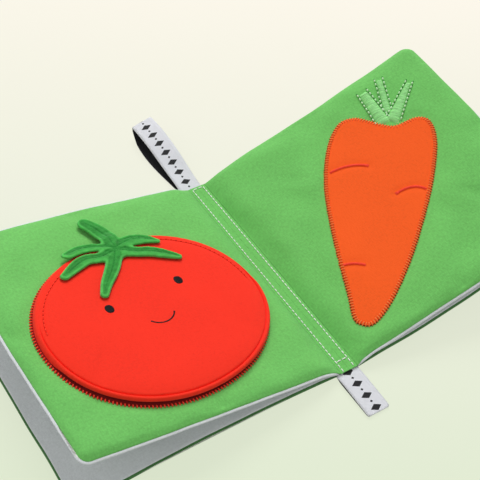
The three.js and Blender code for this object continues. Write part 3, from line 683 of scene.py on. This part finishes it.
def spun(name, colour, gloss=0.35, nap=0.15):
    """Sewing thread: two plies twisted round each other, seen as slanting ridges and the shade between them."""
    finish, tree, surface = shader(name, Base_Color=linear(*colour), Roughness=0.6, Specular_IOR_Level=gloss,
                                   Sheen_Weight=nap)
    twist = add(tree, "TexWave", {"Vector": on_cloth(tree), "Scale": 700}, "Fac", bands_direction="DIAGONAL")
    bumped(tree, surface, Height=twist, Distance=0.00004, Strength=0.4)
    return finish


def dashes(start, end, dash, gap):
    """Starts and ends of the stitches that fit on a straight line between two points."""
    start, end = np.array(start, float), np.array(end, float)
    length = np.linalg.norm(end - start)
    count = int((length + gap) / (dash + gap))
    pitch = (length + gap) / count
    first = start + (end - start) / length * (np.arange(count) * pitch)[:, None]
    return first, first + (end - start) / length * (pitch - gap)


def upright_place(x, y, z):
    """A place for thread on the spine, which lies flat: the point itself."""
    return np.stack(np.broadcast_arrays(x, y, z), -1)


white_thread = spun("white sewing thread", (250, 250, 246))
ROW, CROSS_ROW = 3.9, 3.2  # half the way between the two rows, and half a cross row's length
rows = [dashes(a, b, dash=2.3, gap=0.8) for a, b in (
    ((-ROW, 83.6), (-ROW, -85.2)), ((ROW, 83.6), (ROW, -84.2)),
    ((-CROSS_ROW, 83.8), (CROSS_ROW, 83.8)), ((-CROSS_ROW, -77.8), (CROSS_ROW, -77.8)))]
start, end = (np.vstack([row[k] for row in rows]) for k in (0, 1))
for name, place, level, radius in (
        ("spine_stitches", upright_place, 3.38, 0.35),
        ("spine_stitches_under", lambda x, y, z: upright_place(x, y, 0.56 - z), 0, 0.28)):
    spine_rows = thread_mesh(name, white_thread, place, start, end, lambda x, y: level, radius)
    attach(spine_rows, "spine")

# ---- Tomato's backdrop ----
# A flat red cotton shape sewn to the left page, with close red zigzag stitches over its cut edge. It shows as a thin
# toothed line below the padded tomato. Its red is painted darker than its own, as the shade under the loose flap.

# Painted shade: the backdrop's deep red is darkened further to stand for the shade under the flap.
deep_red_with_painted_shade = woven("deep red cotton darkened as painted shade", (140, 20, 18), slub=0.04, blotch=0.03)
red_thread = spun("red sewing thread", (255, 72, 50), gloss=0.1, nap=0)
BACKDROP_SHIFT = np.array([1.4, -0.9])  # from the tomato's own place


def on_left_page(u, v, z):
    """A point of the left page, flat on its cover, carried onto the book."""
    return on_leaf(-1, u, v, z, True, FACE_LEVEL)


def tomato_edge(steps):
    """The tomato's edge from its middle, at even angles: each unit direction over its ring number."""
    turn = np.linspace(0, 2 * np.pi, steps, endpoint=False)
    ray = np.stack([np.cos(turn), np.sin(turn)], -1)
    return ray / tomato_ring(*(TOMATO_CENTRE + ray).T)[:, None]


def toward_middle(edge, distance, reach=0.97):
    """Columns in from a closed edge to its middle: by their distance near the edge, and stretched further in so that
    the last stands at that share of the way."""
    radius = np.hypot(*edge.T)[:, None]
    stretch = 1 + (reach * radius / distance[-1] - 1) * smooth(distance / distance[-1])
    return edge[:, None] * (1 - distance / radius * stretch)[..., None]


def page_top(hand, u, v):
    """Height of a page's face, flat on its cover and without its relief."""
    return page_faces(hand, u, v)[1]


def run_along(line):
    """How far along a line each of its points is."""
    return np.concatenate([[0], np.cumsum(np.linalg.norm(np.diff(line, axis=0), axis=1))])


def point_at(line, run, at):
    """The points that lie that far along a line."""
    return np.stack([np.interp(at, run, line[:, k]) for k in (0, 1)], -1)


def outline_dashes(line, pitch):
    """Points evenly spaced along a closed line, with its directions outwards and ahead at each."""
    line = np.vstack([line, line[:1]])
    run = run_along(line)
    at = np.linspace(0, run[-1], int(run[-1] / pitch), endpoint=False)
    point = point_at(line, run, at)
    ahead = point_at(line, run, (at + 0.8) % run[-1]) - point
    ahead /= np.linalg.norm(ahead, axis=1, keepdims=True)
    return point, np.stack([ahead[:, 1], -ahead[:, 0]], -1), ahead


edge = tomato_edge(240)
centre = TOMATO_CENTRE + BACKDROP_SHIFT
flat = centre + toward_middle(edge, np.array([0, 0.4, 1.0, 2.0, 4.0, 8.0, 16.0, 30.0, 46.0, 58.0]))
u, v = flat[..., 0], flat[..., 1]
backdrop = sewn("tomato_backdrop_sewn", on_left_page(u, v, page_top(-1, u, v) + 0.55), flat, flip=True, disc=True)
thicken(backdrop, CLOTH, deep_red_with_painted_shade)
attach(backdrop, "left_page")
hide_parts("tomato_backdrop")


def tooth_height(u, v):
    """Height of the zigzag's thread: on the page, and higher where it is over the backdrop."""
    return page_top(-1, u, v) + 0.06 + 0.5 * (tomato_ring(u - BACKDROP_SHIFT[0], v - BACKDROP_SHIFT[1]) < 1)


point, outward, ahead = outline_dashes(centre + edge, pitch=2.1)
teeth = thread_mesh("tomato_backdrop_zigzag", red_thread, on_left_page, point + outward * 0.8 - ahead * 0.2,
                    point - outward * 0.7 + ahead * 0.2, tooth_height, radius=0.45, sink=0.4)
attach(teeth, "left_page")

# ---- Tomato ----
# A padded red cotton disc. Its upper half is sewn down by a dashed row inside its edge, and its lower half is loose
# and lifts as a flap, with a topstitched groove and a rim beyond it. Front and back cloth run on over the fold.

GROOVE_AT, ROW_AT = 2.7, 5.5  # in from the edge: the flap's groove, and the sewn half's row of stitches
RIM_UP, CROWN_UP = 2.8, 1.45  # the rim above the tomato's back, and the crown above the rim
SEWN_FROM = -14  # below this the tomato is loose
FOLD = [(TOMATO_CENTRE[0], -8.2), (TOMATO_CENTRE[0], -12.6)]  # the two ends of the flap's fold line


def inside_tomato(u, v):
    """Distance in from the tomato's edge: (1 - N) / |grad N|, where N is the ring number of the point."""
    x, y, tall = tomato_axes(u - TOMATO_CENTRE[0], v - TOMATO_CENTRE[1])
    ring = np.maximum(tomato_ring(u, v), 0.02)
    slope = np.hypot((x / TOMATO_HALF[0] / ring) ** (SQUARENESS - 1) / TOMATO_HALF[0],
                     (y / tall / ring) ** (SQUARENESS - 1) / tall)
    return (1 - ring) / np.maximum(slope, 1e-3)


def tomato_seat(u, v):
    """Height of the tomato's back; the loose edge stands a little off the page."""
    return page_top(-1, u, v) + 1.3 + 0.7 * smooth((-v - 30) / 40)


def tucked(u, v, slant=0.13):
    """Falls smoothly from 1, where the tomato is held down on the page, to 0 where it is loose, along a line that
    slants: its edge is held a little further towards the fore edge than it is sewn."""
    return smooth((v - SEWN_FROM + slant * (u - 15)) / 10)


def crown(d):
    """How far the crown stands above the rim, d in from the edge: its height times 1 - exp(-(d past the groove))."""
    return CROWN_UP * (1 - np.exp(-np.maximum(0, d - GROOVE_AT) / 7))


def tomato_front(u, v):
    """Height of the front cloth. From the edge inwards: a quarter ellipse up to the rim, a groove on the loose half
    or a shallow stitched dent on the sewn half, then a crown that levels off."""
    d = inside_tomato(u, v)
    rim = RIM_UP + 0.14 * np.sin(np.pi * np.clip(d / GROOVE_AT, 0, 1))
    groove = 1.1 * np.exp(-((d - GROOVE_AT) / 0.36) ** 2) * smooth((6 - v) / 14)
    dent = 0.32 * np.exp(-((d - ROW_AT) / 1.1) ** 2) * tucked(u, v, 0)
    down = tucked(u, v)
    seam, width = 0.95 - 1.65 * down, 1.3 + 1.55 * down
    full = rim + crown(d) - groove - dent + 0.4 * puckered(u, v) * smooth(d / 9)
    return tomato_seat(u, v) + seam + (full - seam) * arch(d / width)


red_cotton = woven("red cotton", (255, 50, 28), slub=0.04, blotch=0.03, nap=0.05)
distance = np.concatenate([[0, 0.04, 0.15, 0.35, 0.6, 0.9, 1.2, 1.6, 2.0], np.arange(2.2, 3.25, 0.1),
                           [3.5, 4.1, 4.7, 5.5, 6.1, 6.8], np.arange(7.6, 61, 2.2)])
edge = tomato_edge(300)
flat = TOMATO_CENTRE + toward_middle(edge, distance)
u, v = flat[..., 0], flat[..., 1]
tomato_skin = sewn("tomato_front_sewn", on_left_page(u, v, tomato_front(u, v)), flat, flip=True, disc=True)
thicken(tomato_skin, CLOTH, red_cotton)
fold = [tuple(on_left_page(x, y, 20.0) * 1e-3) for x, y in FOLD]
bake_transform(tomato_skin)
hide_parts("tomato_top_front", "tomato_flap_front")

inset = 1 - (0.3 + 1.6 * tucked(*(TOMATO_CENTRE + edge).T))[:, None] / 65
flat = TOMATO_CENTRE + toward_middle(edge * inset, distance[[0, 2, 4, 6, 9, *range(19, 50, 2)]])
u, v = flat[..., 0], flat[..., 1]
rise = 0.8 * (1 - tucked(u, v)) * (1 - arch(inside_tomato(u, v) / 3.2))
tomato_under = sewn("tomato_back_sewn", on_left_page(u, v, tomato_seat(u, v) + rise), flat, disc=True)
thicken(tomato_under, CLOTH, red_cotton)
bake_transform(tomato_under)
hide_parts("tomato_top_back", "tomato_flap_back")

for body, half, node in (("left_page", 1, "tomato_top_wadding"), ("tomato_flap", -1, "tomato_flap_wadding")):
    turn = edge[edge[:, 1] * half >= -0.01]
    turn = turn[np.argsort(-turn[:, 0] / np.hypot(*turn.T))]
    share = np.linspace(0, 0.95, 24)
    flat = TOMATO_CENTRE + (0, half) + turn[:, None] * share[None, :, None]
    u, v = flat[..., 0], flat[..., 1]
    low, high = tomato_seat(u, v), tomato_front(u, v)
    gap = smooth((0.97 - share) * 14) * smooth(np.abs(v - TOMATO_CENTRE[1] - half) / 4)
    gap = gap * np.maximum(0, 0.5 * (high - low) - 0.9)
    top, bottom = (on_left_page(u, v, 0.5 * (high + low) + way * gap) for way in (1, -1))
    pad = closed(f"{node}_pad", top, bottom, flat, half < 0, fluff)
    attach(pad, body)
    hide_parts(node)

DASH, DASH_GAP = 2.1, 1.0
line = TOMATO_CENTRE + edge * (1 - ROW_AT / np.hypot(*edge.T))[:, None]
line = line[line[:, 1] > -9.6 + (line[:, 0] - 18.6) * 0.025]
line = line[np.argsort(np.arctan2(line[:, 1] - SEWN_FROM, line[:, 0] - 84) % (2 * np.pi))]  # from end to end
run = run_along(line)
at = np.arange(0, run[-1] - DASH, DASH + DASH_GAP)
start, end = (point_at(line, run, at + more) for more in (0, DASH))
row_thread = spun("tomato sewing thread", (255, 66, 46), gloss=0.1, nap=0)
# Painted shade: a darker red thread, sunk a little, fills each gap between the stitches as the shade in their needle
# holes.
tomato_hole_shade_thread = spun("red thread painted as needle-hole shade", (214, 40, 30), gloss=0, nap=0)
for name, thread, start, end, sunk, radius in (
        ("tomato_stitches", row_thread, start, end, 0, 0.36),
        ("tomato_stitch_hole_shade", tomato_hole_shade_thread, end[:-1], start[1:], 0.1, 0.32)):
    tomato_row = thread_mesh(name, thread, on_left_page, start, end, lambda u, v: tomato_front(u, v) - sunk, radius)
    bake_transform(tomato_row)

# ---- Eyes and mouth ----
# Plain black satin stitch, its threads side by side through the tomato's front: two round dots on the sewn half, and
# a short thin curve on the flap.


def satin(name, finish, hand, path, half_width, height, rise, pitch=0.42, slant=0.25):
    """Embroidery on a page, its threads side by side across a path. Over the path's run t and across it q from -1 to 1:
    point = path(t) + q * half_width(t) * across, height + rise * (1 - |q|^2.4)^(1/2), and each thread stands up from
    the grooves beside it by half a sine. Its under side closes it just inside the cloth."""
    t = np.linspace(0, 1, 400)
    line = path(t)
    length = np.sum(np.linalg.norm(np.diff(line, axis=0), axis=1))
    threads = max(4, int(length / pitch))
    t = np.linspace(0, 1, threads * 6 + 1)
    line = path(t)
    ahead = np.gradient(line, axis=0)
    ahead /= np.linalg.norm(ahead, axis=1, keepdims=True)
    across = np.stack([-ahead[:, 1], ahead[:, 0]], -1)
    q = np.sin(np.linspace(-1, 1, 11) * np.pi / 2)
    phase = t[:, None] * threads + slant * q[None, :]
    rng = np.random.default_rng(len(name))
    uneven = rng.uniform(0.9, 1.06, threads + 3)[np.clip(phase.astype(int), 0, threads + 2)]
    ridge = np.abs(np.sin(np.pi * phase)) ** 0.6
    half = half_width(t)[:, None] * (0.93 + 0.07 * ridge * uneven)
    flat = line[:, None] + across[:, None] * (q[None, :] * half)[..., None]
    ends = np.minimum(1, np.minimum(t, 1 - t) * threads / 1.5)[:, None]
    lift = rise * np.sqrt(np.maximum(0, 1 - np.abs(q[None, :]) ** 2.4)) * (0.6 + 0.4 * ridge * uneven) * ends
    u, v = flat[..., 0], flat[..., 1]
    z = height(u, v)
    top, bottom = (on_leaf(hand, u, v, level, True, FACE_LEVEL) for level in (z - 0.12 + lift, z - 0.3))
    flat = np.stack([np.broadcast_to(t[:, None] * length, u.shape), q[None, :] * half], -1)
    return closed(name, top, bottom, flat, hand < 0, finish)


def toned(tree, noise, colour, least, most):
    """A colour made darker and lighter by a noise: times the least of its value where that is 0.3, the most at 0.7."""
    value = add(tree, "MapRange", {"Value": noise, "From Min": 0.3, "From Max": 0.7, "To Min": least, "To Max": most},
                "Result")
    return add(tree, "HueSaturation", {"Value": value, "Color": colour}, "Color")


def silky(name, colour, roughness, gloss, streak=0.1):
    """Embroidery thread: smooth, with a soft gloss, each one a little lighter or darker than the next."""
    finish, tree, surface = shader(name, Roughness=roughness, Specular_IOR_Level=gloss)
    streaks = stretched_noise(tree, (1100, 90, 1))
    fill(tree, surface, {"Base Color": toned(tree, streaks, linear(*colour), 1 - streak, 1 + streak)})
    return finish


black_silk = silky("black embroidery thread", (8, 8, 11), roughness=0.6, gloss=0.25)
for word, (x, y) in (("left", (59.5, 5.5)), ("right", (108.5, -1.0))):
    eye_dot = satin(f"tomato_eye_{word}", black_silk, -1, lambda t: np.stack([x + 0 * t, y + 3.3 * (2 * t - 1)], -1),
                    lambda t: 2.8 * np.sqrt(np.maximum(0.02, 1 - (2 * t - 1) ** 2)), tomato_front, rise=0.55)
    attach(eye_dot, "left_page")
smile = [np.polyfit([0, 0.29, 0.53, 0.8, 1], at, 3) for at in ((91.2, 86.3, 81.6, 76.9, 74.4),
                                                               (-17.4, -20.5, -20.9, -18.4, -15.2))]
mouth = satin("tomato_mouth", black_silk, -1, lambda t: np.stack([np.polyval(turn, t) for turn in smile], -1),
              lambda t: 0.48 + 0.4 * np.exp(-(np.minimum(t, 1 - t) / 0.03) ** 2), tomato_front, rise=0.4)
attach(mouth, "tomato_flap")

# ---- Calyx ----
# Green felt with six curved arms, sewn down at its middle. A smooth raised rim runs round a fuzzy hollow, and a
# crease follows each arm. The hollow and the creases are painted darker as their shade, most on one side of each arm.

CALYX_CENTRE = np.array([82.5, 40.5])
# For each arm: points of its middle line, from that centre, and half its width at each.
CALYX_ARMS = [([(0, -2), (-1.1, 13), (1.4, 22), (7.5, 32.4)], (5.4, 5.7, 5.2, 4.3)),
              ([(-1.5, 0.5), (8.5, 5.2), (14.5, 7), (21, 7.9), (31.6, 5.3)], (3, 3.0, 3.3, 3.7, 3.3)),
              ([(-1.5, -0.5), (11.5, -3.4), (20, -2.3), (27.5, -4.6), (40.6, -11.7)], (4.2, 3.8, 4.0, 4.1, 2.6)),
              ([(-0.5, 1.5), (6.6, -10), (12.1, -17), (19.1, -24.7), (25.4, -33.6)], (4.8, 4.4, 4.0, 3.2, 2.3)),
              ([(1.5, 0), (-10.5, -6.4), (-18.5, -9.2), (-25.5, -13.5), (-34.2, -20.0)], (4.8, 3.9, 4.0, 3.5, 1.9)),
              ([(1.5, 0.5), (-9.5, 3.9), (-15.5, 3.8), (-21.5, 2), (-28.9, -3)], (5, 4.6, 4.6, 3.7, 1.5))]


def arm_line(arm, steps=18):
    """Middle line and half width of an arm: a smooth line through its points, and one through its widths. It ends its
    half width before the tip, which is round."""
    points, half = np.array(arm[0], float), np.array(arm[1], float)
    back = points[-2] - points[-1]
    points[-1] += back / np.hypot(*back) * half[-1]
    known = np.column_stack([points, half])
    known = np.vstack([2 * known[0] - known[1], known, 2 * known[-1] - known[-2]])
    line = through(*(known[k:len(known) - 3 + k, None, :] for k in range(4)), steps).reshape(-1, 3)
    return CALYX_CENTRE + line[:, :2], line[:, 2]


def calyx_shape(u, v, soft=0.9):
    """Distance outside the calyx's edge, negative inside, with the arms' meeting corners filled softly; the distance
    from the nearest arm's middle line; and how far the point lies to the far side of that line, in half widths."""
    total, crease, far = 0, np.full(np.shape(u), 1e3), np.zeros(np.shape(u))
    for number, arm in enumerate(CALYX_ARMS):
        line, half = arm_line(arm)
        du, dv = u[..., None] - line[:, 0], v[..., None] - line[:, 1]
        away = np.hypot(du, dv)
        total = total + np.exp(-np.min(away - half, -1) / soft)
        beyond = np.take_along_axis((0.81 * dv - 0.59 * du) / half, away.argmin(-1)[..., None], -1)[..., 0]
        far = np.where(away.min(-1) < crease, beyond if number else 0.0, far)
        crease = np.minimum(crease, away.min(-1))
    return -soft * np.log(total) - 0.3, crease, far


def calyx_seat(u, v):
    """Where the felt lies: on the tomato, and beyond its edge down towards the page."""
    inner = np.maximum(inside_tomato(u, v), 0)
    ring = tomato_ring(u, v)
    on_tomato = tomato_seat(u, v) + RIM_UP + crown(inner)
    fall = smooth((ring - 0.985) / 0.13)
    return on_tomato + 0.7 * (page_top(-1, u, v) + 1.1 - on_tomato) * fall


PITCH, FELT_THICK = 0.5, 1.6
grid_u, grid_v = np.meshgrid(np.arange(42, 127, PITCH), np.arange(4, 76, PITCH), indexing="ij")
shape, crease, far = calyx_shape(grid_u, grid_v)
quads = quads_of(np.arange(shape.size).reshape(shape.shape))
quads = quads[shape.ravel()[quads].mean(1) < 0]
touching = np.bincount(quads.ravel(), minlength=shape.size).reshape(shape.shape)
border = (touching > 0) & (touching < 4)
slope_u, slope_v = np.gradient(shape, PITCH)
step = np.where(border, np.clip(shape, -PITCH, PITCH), 0) / np.maximum(slope_u**2 + slope_v**2, 0.3)
used, quads = np.unique(quads, return_inverse=True)
u, v, inner, crease, far = (values.ravel()[used] for values in (
    grid_u - step * slope_u, grid_v - step * slope_v, np.maximum(0, -np.where(border, 0, shape)), crease, far))
hollow = smooth((inner - 1.1) / 1.0) * smooth(0.62 + 0.8 * far)
fuzz = 0.07 * ripple(71, u, v, 1.6) + 0.06 * ripple(72, u, v, 3.5)
fold_line = np.exp(-(crease / 0.5) ** 2) * smooth((inner - 2) / 2)
felt_top = 1.35 + 1.05 * arch(inner / 0.9) - 0.7 * hollow - 0.4 * fold_line + fuzz * (0.3 + hollow)
felt_top = felt_top + 0.5 * smooth(inner / 5)
calyx = cloth_mesh("calyx_sewn", on_left_page(u, v, calyx_seat(u, v) + felt_top), [quads.reshape(-1, 4)[:, ::-1]],
                   np.stack([u, v], -1))
# Painted shade: the felt is darkened in its hollow, along its creases and a little everywhere inside its rim, so the
# rim reads lighter.
shade = np.clip(0.25 * smooth(inner - 0.6) + 0.65 * hollow + 0.25 * fold_line, 0, 1)
calyx.data.attributes.new("hollow", "FLOAT", "POINT").data.foreach_set("value", shade.astype(np.float32))
felt, tree, surface = shader("green felt", Roughness=0.95, Specular_IOR_Level=0.1, Sheen_Weight=0.3,
                             Sheen_Roughness=0.4)
place = add(tree, "TexCoord", {}, "Object")
fibre = add(tree, "TexNoise", {"Vector": place, "Scale": 1400, "Detail": 4}, "Fac")
clump = add(tree, "TexNoise", {"Vector": place, "Scale": 260}, "Fac")
# The felt's colour runs by that painted shade from the rim's light green to the dark green of the shaded hollow.
tone = add(tree, "Mix", {"Factor": add(tree, "Attribute", {}, "Fac", attribute_name="hollow"),
                         "A": linear(86, 194, 88), "B": linear(34, 124, 46)}, "Result", data_type="RGBA")
fill(tree, surface, {"Base Color": toned(tree, clump, tone, 0.82, 1.16)})
bumped(tree, surface, Height=fibre, Distance=0.0003, Strength=0.7)
thicken(calyx, FELT_THICK, felt)
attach(calyx, "left_page")
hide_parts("calyx")
spokes = np.radians([20, 75, 140, 200, 255, 320])
ray = np.stack([np.cos(spokes), np.sin(spokes)], -1)
calyx_knot = thread_mesh("calyx_stitches", spun("green sewing thread", (38, 112, 48)), on_left_page,
                         CALYX_CENTRE + ray * 0.6, CALYX_CENTRE + ray * 2.9, lambda u, v: calyx_seat(u, v) + 1.5,
                         radius=0.24)
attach(calyx_knot, "left_page")

# ---- Carrot ----
# Flat orange cotton, laid on the right page and sewn down by an even border of short orange stitches over its cut
# edge. Three creases are drawn on it in satin stitch.

orange_cotton = woven("orange cotton", (255, 96, 28), slub=0.05, blotch=0.03, nap=0.05)
# Painted shade: a dark strip just beyond the carrot's seam shows between the border stitches as the shade there.
edge_shade_cloth = woven("painted shade between the orange border stitches", (140, 62, 22), slub=0.05, blotch=0.03, nap=0)
CREASES = [((68.5, 35.3), (81.7, 31.5), (91.0, 23.6)), ((91.0, -4.8), (101.9, -6.9), (108.1, -14.1)),
           ((33.7, -27.0), (39.8, -30.3), (44.8, -35.5))]  # the start, middle and end of each
CARROT_CENTRE = np.array([84.0, 6.0])


def on_right_page(u, v, z):
    """A point of the right page, flat on its cover, carried onto the book."""
    return on_leaf(1, u, v, z, True, FACE_LEVEL)


def bent_line(a, b, c):
    """The parabola that starts at a, passes b half way and ends at c."""
    a, b, c = (np.array(p, float) for p in (a, b, c))
    return lambda t: (a + (4 * b - 3 * a - c) * t[..., None] + 2 * (a + c - 2 * b) * t[..., None] ** 2)


def carrot_top(u, v, share=0.5):
    """Height of the carrot's cloth: on the page, with a share of the full dent along each crease."""
    dent = 0
    for crease in CREASES:
        line = bent_line(*crease)(np.linspace(0, 1, 24))
        away = np.min(np.hypot(u[..., None] - line[:, 0], v[..., None] - line[:, 1]), -1)
        dent = np.maximum(dent, 0.5 * np.exp(-(away / 2.8) ** 2))
    return page_top(1, u, v) + 1.1 - share * dent


edge = closed_curve(CARROT_EDGE, 14)
ahead = np.roll(edge, -1, 0) - np.roll(edge, 1, 0)
ahead /= np.linalg.norm(ahead, axis=1, keepdims=True)
inwards = np.stack([-ahead[:, 1], ahead[:, 0]], -1)
in_by = np.array([-0.7, 0, 0.15, 0.4, 0.8, 1.4, 2.0, 2.6, 3.2])  # from the seam; the first is a painted shade strip
border_line = edge[:, None] + inwards[:, None] * in_by[None, :, None]
last = border_line[:, -1:]
rest = last + (CARROT_CENTRE - last) * np.linspace(0, 0.985, 34)[1:][None, :, None]
flat = np.concatenate([border_line, rest], 1)
u, v = flat[..., 0], flat[..., 1]
columns = np.concatenate([in_by, np.full(rest.shape[1], 9.0)])
z = carrot_top(u, v, smooth((columns - 0.5) / 3)) - 0.45 * (1 - smooth(columns / 2.6)) - 0.1 - 0.4 * (columns < 0)
carrot = sewn("carrot_sewn", on_right_page(u, v, z), flat, disc=True)
thicken(carrot, CLOTH, orange_cotton, edge_shade_cloth)
across = len(columns) - 1
# The faces of that strip take the painted shade.
shade_faces = np.zeros(len(carrot.data.polygons), np.int32)
shade_faces[:len(edge) * across:across] = 1
carrot.data.polygons.foreach_set("material_index", shade_faces)
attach(carrot, "right_page")
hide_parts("carrot")
point, outward, ahead = outline_dashes(edge, pitch=1.9)


def binding_height(u, v):
    """Height of the border stitches: on the page, and rising by their distance in from the carrot's edge."""
    inside = np.sum((point[:, None] - np.stack([u, v], -1)) * outward[:, None], -1)
    return page_top(1, u, v) + (0.1 + 0.5 * smooth((inside + 0.45) / 0.6) + 0.42 * smooth(inside / 2.2))


rng = np.random.default_rng(5)
uneven = rng.uniform(-0.12, 0.12, (len(point), 2))
binding = thread_mesh("carrot_binding", spun("orange sewing thread", (255, 136, 72), gloss=0.1, nap=0), on_right_page,
                      point + outward * (1.0 + uneven[:, :1]) - ahead * 0.2,
                      point - outward * (1.9 + uneven[:, 1:]) + ahead * 0.2, binding_height, radius=0.42, sink=0.5)
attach(binding, "right_page")
crease_silk = silky("red orange embroidery thread", (255, 78, 56), roughness=0.6, gloss=0.2)
for k, crease in enumerate(CREASES):
    stroke = satin(f"carrot_crease_{k + 1}", crease_silk, 1, bent_line(*crease),
                   lambda t: 0.75 + 0.35 * np.exp(-((1 - t if k == 0 else t) / 0.06) ** 2), carrot_top, rise=0.75)
    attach(stroke, "right_page")

# ---- Carrot's leaves ----
# Three tapered blades of pale green satin stitch straight on the page, each with a row of tiny stitches along both
# sides: light stitches, with dark green painted shade of their needle holes between them.

BLADES = {"left": ((119.4, 44), (122.8, 73), 4.7, 3.0), "middle": ((126.3, 49.5), (137.4, 74.6), 2.4, 2.1),
          "right": ((123.9, 42.2), (151, 59.5), 4.7, 1.7)}  # base, tip, and half the width at either
pale_silk = silky("pale green embroidery thread", (146, 222, 134), roughness=0.5, gloss=0.3, streak=0.3)
outline_thread = spun("light green sewing thread", (206, 246, 196), gloss=0.1, nap=0)
# Painted shade: dark green thread between the light stitches stands for the shade in their needle holes.
leaf_hole_shade_thread = spun("green thread painted as needle-hole shade", (56, 140, 58), gloss=0.1, nap=0)


def leaf_height(u, v):
    """Height of the thread just over the right page's cloth."""
    return page_top(1, u, v) + page_relief(1, u, v) + 0.15


for word, (base, tip, wide, narrow) in BLADES.items():
    base, tip = np.array(base, float), np.array(tip, float)
    blade = satin(f"carrot_leaf_{word}_sewn", pale_silk, 1, lambda t: base + (tip - base) * t[:, None],
                  lambda t: (wide + (narrow - wide) * t) * np.minimum(1, 0.8 + 3 * (1 - t)), leaf_height,
                  rise=1.35, pitch=1.15, slant=1.1)
    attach(blade, "right_page")
    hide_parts(f"carrot_leaf_{word}")
    length = np.linalg.norm(tip - base)
    along = (tip - base) / length
    across = np.array([-along[1], along[0]])
    t = np.linspace(0.12, 1.0, int(length * 0.88 / 2.8))[:, None]
    half = wide + (narrow - wide) * t + 0.7
    spots = np.vstack([base + (tip - base) * t + across * side * half for side in (-1, 1)])
    # The second row is that painted shade, set in the gaps between the light stitches.
    for kind, thread, reach, radius, shift in (("outline", outline_thread, 0.7, 0.58, 0.0),
                                               ("needle_hole_shade", leaf_hole_shade_thread, 0.6, 0.4, 1.4)):
        row = thread_mesh(f"carrot_leaf_{word}_{kind}", thread, on_right_page, spots + along * (shift - reach),
                          spots + along * (shift + reach), leaf_height, radius)
        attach(row, "right_page")

# ---- Tags ----
# White woven tape with a black reverse, folded double, its two ends sewn into the spine. The one at the head stands up
# in a long loop and the one at the foot lies flat. A plain row of woven dots and lozenges runs along each.

TAPE, TAPE_WIDTH = 0.4, 15.0  # thickness and width
BEAT = 0.0045  # from a dot to the lozenge beside it, in metres like the rest of the pattern
tape_face, tree, surface = shader("woven tape", Roughness=0.6, Specular_IOR_Level=0.3, Sheen_Weight=0.1)
place = add(tree, "SeparateXYZ", {"Vector": on_cloth(tree)}).node.outputs
beat = maths(tree, "PINGPONG", place["X"], BEAT)
from_middle = maths(tree, "ABSOLUTE", place["Y"])
lozenge = maths(tree, "LESS_THAN", maths(tree, "ADD", beat, maths(tree, "MULTIPLY", from_middle, 0.62)), 0.0023)
dot = maths(tree, "LESS_THAN", maths(tree, "ADD", maths(tree, "SUBTRACT", BEAT, beat), from_middle), 0.0009)
threads = [maths(tree, "SINE", maths(tree, "MULTIPLY", place[axis], 2 * np.pi / pitch))
           for axis, pitch in (("Y", 0.0005), ("X", 0.0004))]
tone = add(tree, "Mix", {"Factor": maths(tree, "MAXIMUM", lozenge, dot), "A": linear(236, 237, 243),
                         "B": linear(24, 24, 28)}, "Result", data_type="RGBA")
fill(tree, surface, {"Base Color": tone})
bumped(tree, surface, Height=maths(tree, "MULTIPLY", *threads), Distance=0.00006)
tape_reverse = woven("tape reverse", (24, 24, 28), pitch=0.0004)
tape_edge = woven("tape edge", (236, 236, 238), pitch=0.0004)


def tag_path(shift, length, fold, landing, opening, sway, steps=46):
    """Run out, height and sideways place of the tape's middle: a lower ply that sinks to the table and bows aside, a
    tight half turn at its end, and an upper ply that comes straight back over an opening."""
    t = np.linspace(0, 1, steps)
    y = 85.4 + t * (length - 1.1)
    climb = (fold - 0.95) * np.maximum(0, (t - landing) / (1.001 - landing)) ** 1.35
    low = 0.35 + 1.05 * (1 - smooth(t / 0.15)) + climb
    high = 2.0 + (fold - 2.0) * t + opening * np.sin(np.pi * t**1.5)
    turn = np.linspace(-np.pi / 2, np.pi / 2, 9)[1:-1]
    centre, radius = (low[-1] + high[-1]) / 2, (high[-1] - low[-1]) / 2
    out = np.concatenate([[77, 81, 85], y, y[-1] + radius * np.cos(turn), y[::-1], [85, 81, 77]])
    rise = np.concatenate([[1.4] * 3, low, centre + radius * np.sin(turn), high[::-1], [2.0] * 3])
    share = np.concatenate([[0] * 3, t, np.ones(7), t[::-1], [0] * 3])
    aside = np.concatenate([[0] * 3, shift - sway * np.sin(np.pi * t**1.3), np.full(7 + steps, shift), [0] * 3])
    return out, rise, share, aside


for word, head, shift, length, fold_height, landing, opening, tilt, sway in (
        ("top", 1, -3.5, 69.5, 8.9, 0.84, 2.6, 3.8, 3.3), ("bottom", -1, -1.2, 31.5, 1.1, 1.0, 0.2, 0.0, 0.0)):
    y, z, t, aside = tag_path(shift, length, fold_height, landing, opening, sway)
    step_y, step_z = np.gradient(y), np.gradient(z)
    run = np.hypot(step_y, step_z)
    outward_y, outward_z = step_z / run, -step_y / run
    y, z = y + outward_y * TAPE / 2, z + outward_z * TAPE / 2
    half = np.where(y < 85.2, 4.0, TAPE_WIDTH / 2 - 0.9 * np.clip((y - y.max()) / 1.4 + 1, 0, 1) ** 2)
    q = np.linspace(-1, 1, 9)[None, :]
    x = aside[:, None] + half[:, None] * q
    lean = (tilt / 2) * smooth(2 * t) * smooth(z / fold_height)
    sag = 0.18 * ripple(91, y[:, None], 9 * q, 30) * smooth(3 * t)[:, None] * (z[:, None] > 2)
    grid = np.stack(np.broadcast_arrays(x, head * y[:, None], z[:, None] + lean[:, None] * q + sag), -1)
    along = np.broadcast_to(np.cumsum(run)[:, None], x.shape)
    tag = sewn(f"{word}_tag_tape", grid, np.stack([along, half[:, None] * q * np.ones_like(x)], -1), head < 0)
    wall = thicken(tag, TAPE, tape_face, tape_reverse, tape_edge)
    wall.material_offset, wall.material_offset_rim = 1, 2
    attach(tag, "spine")
    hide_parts(f"{word}_tag")
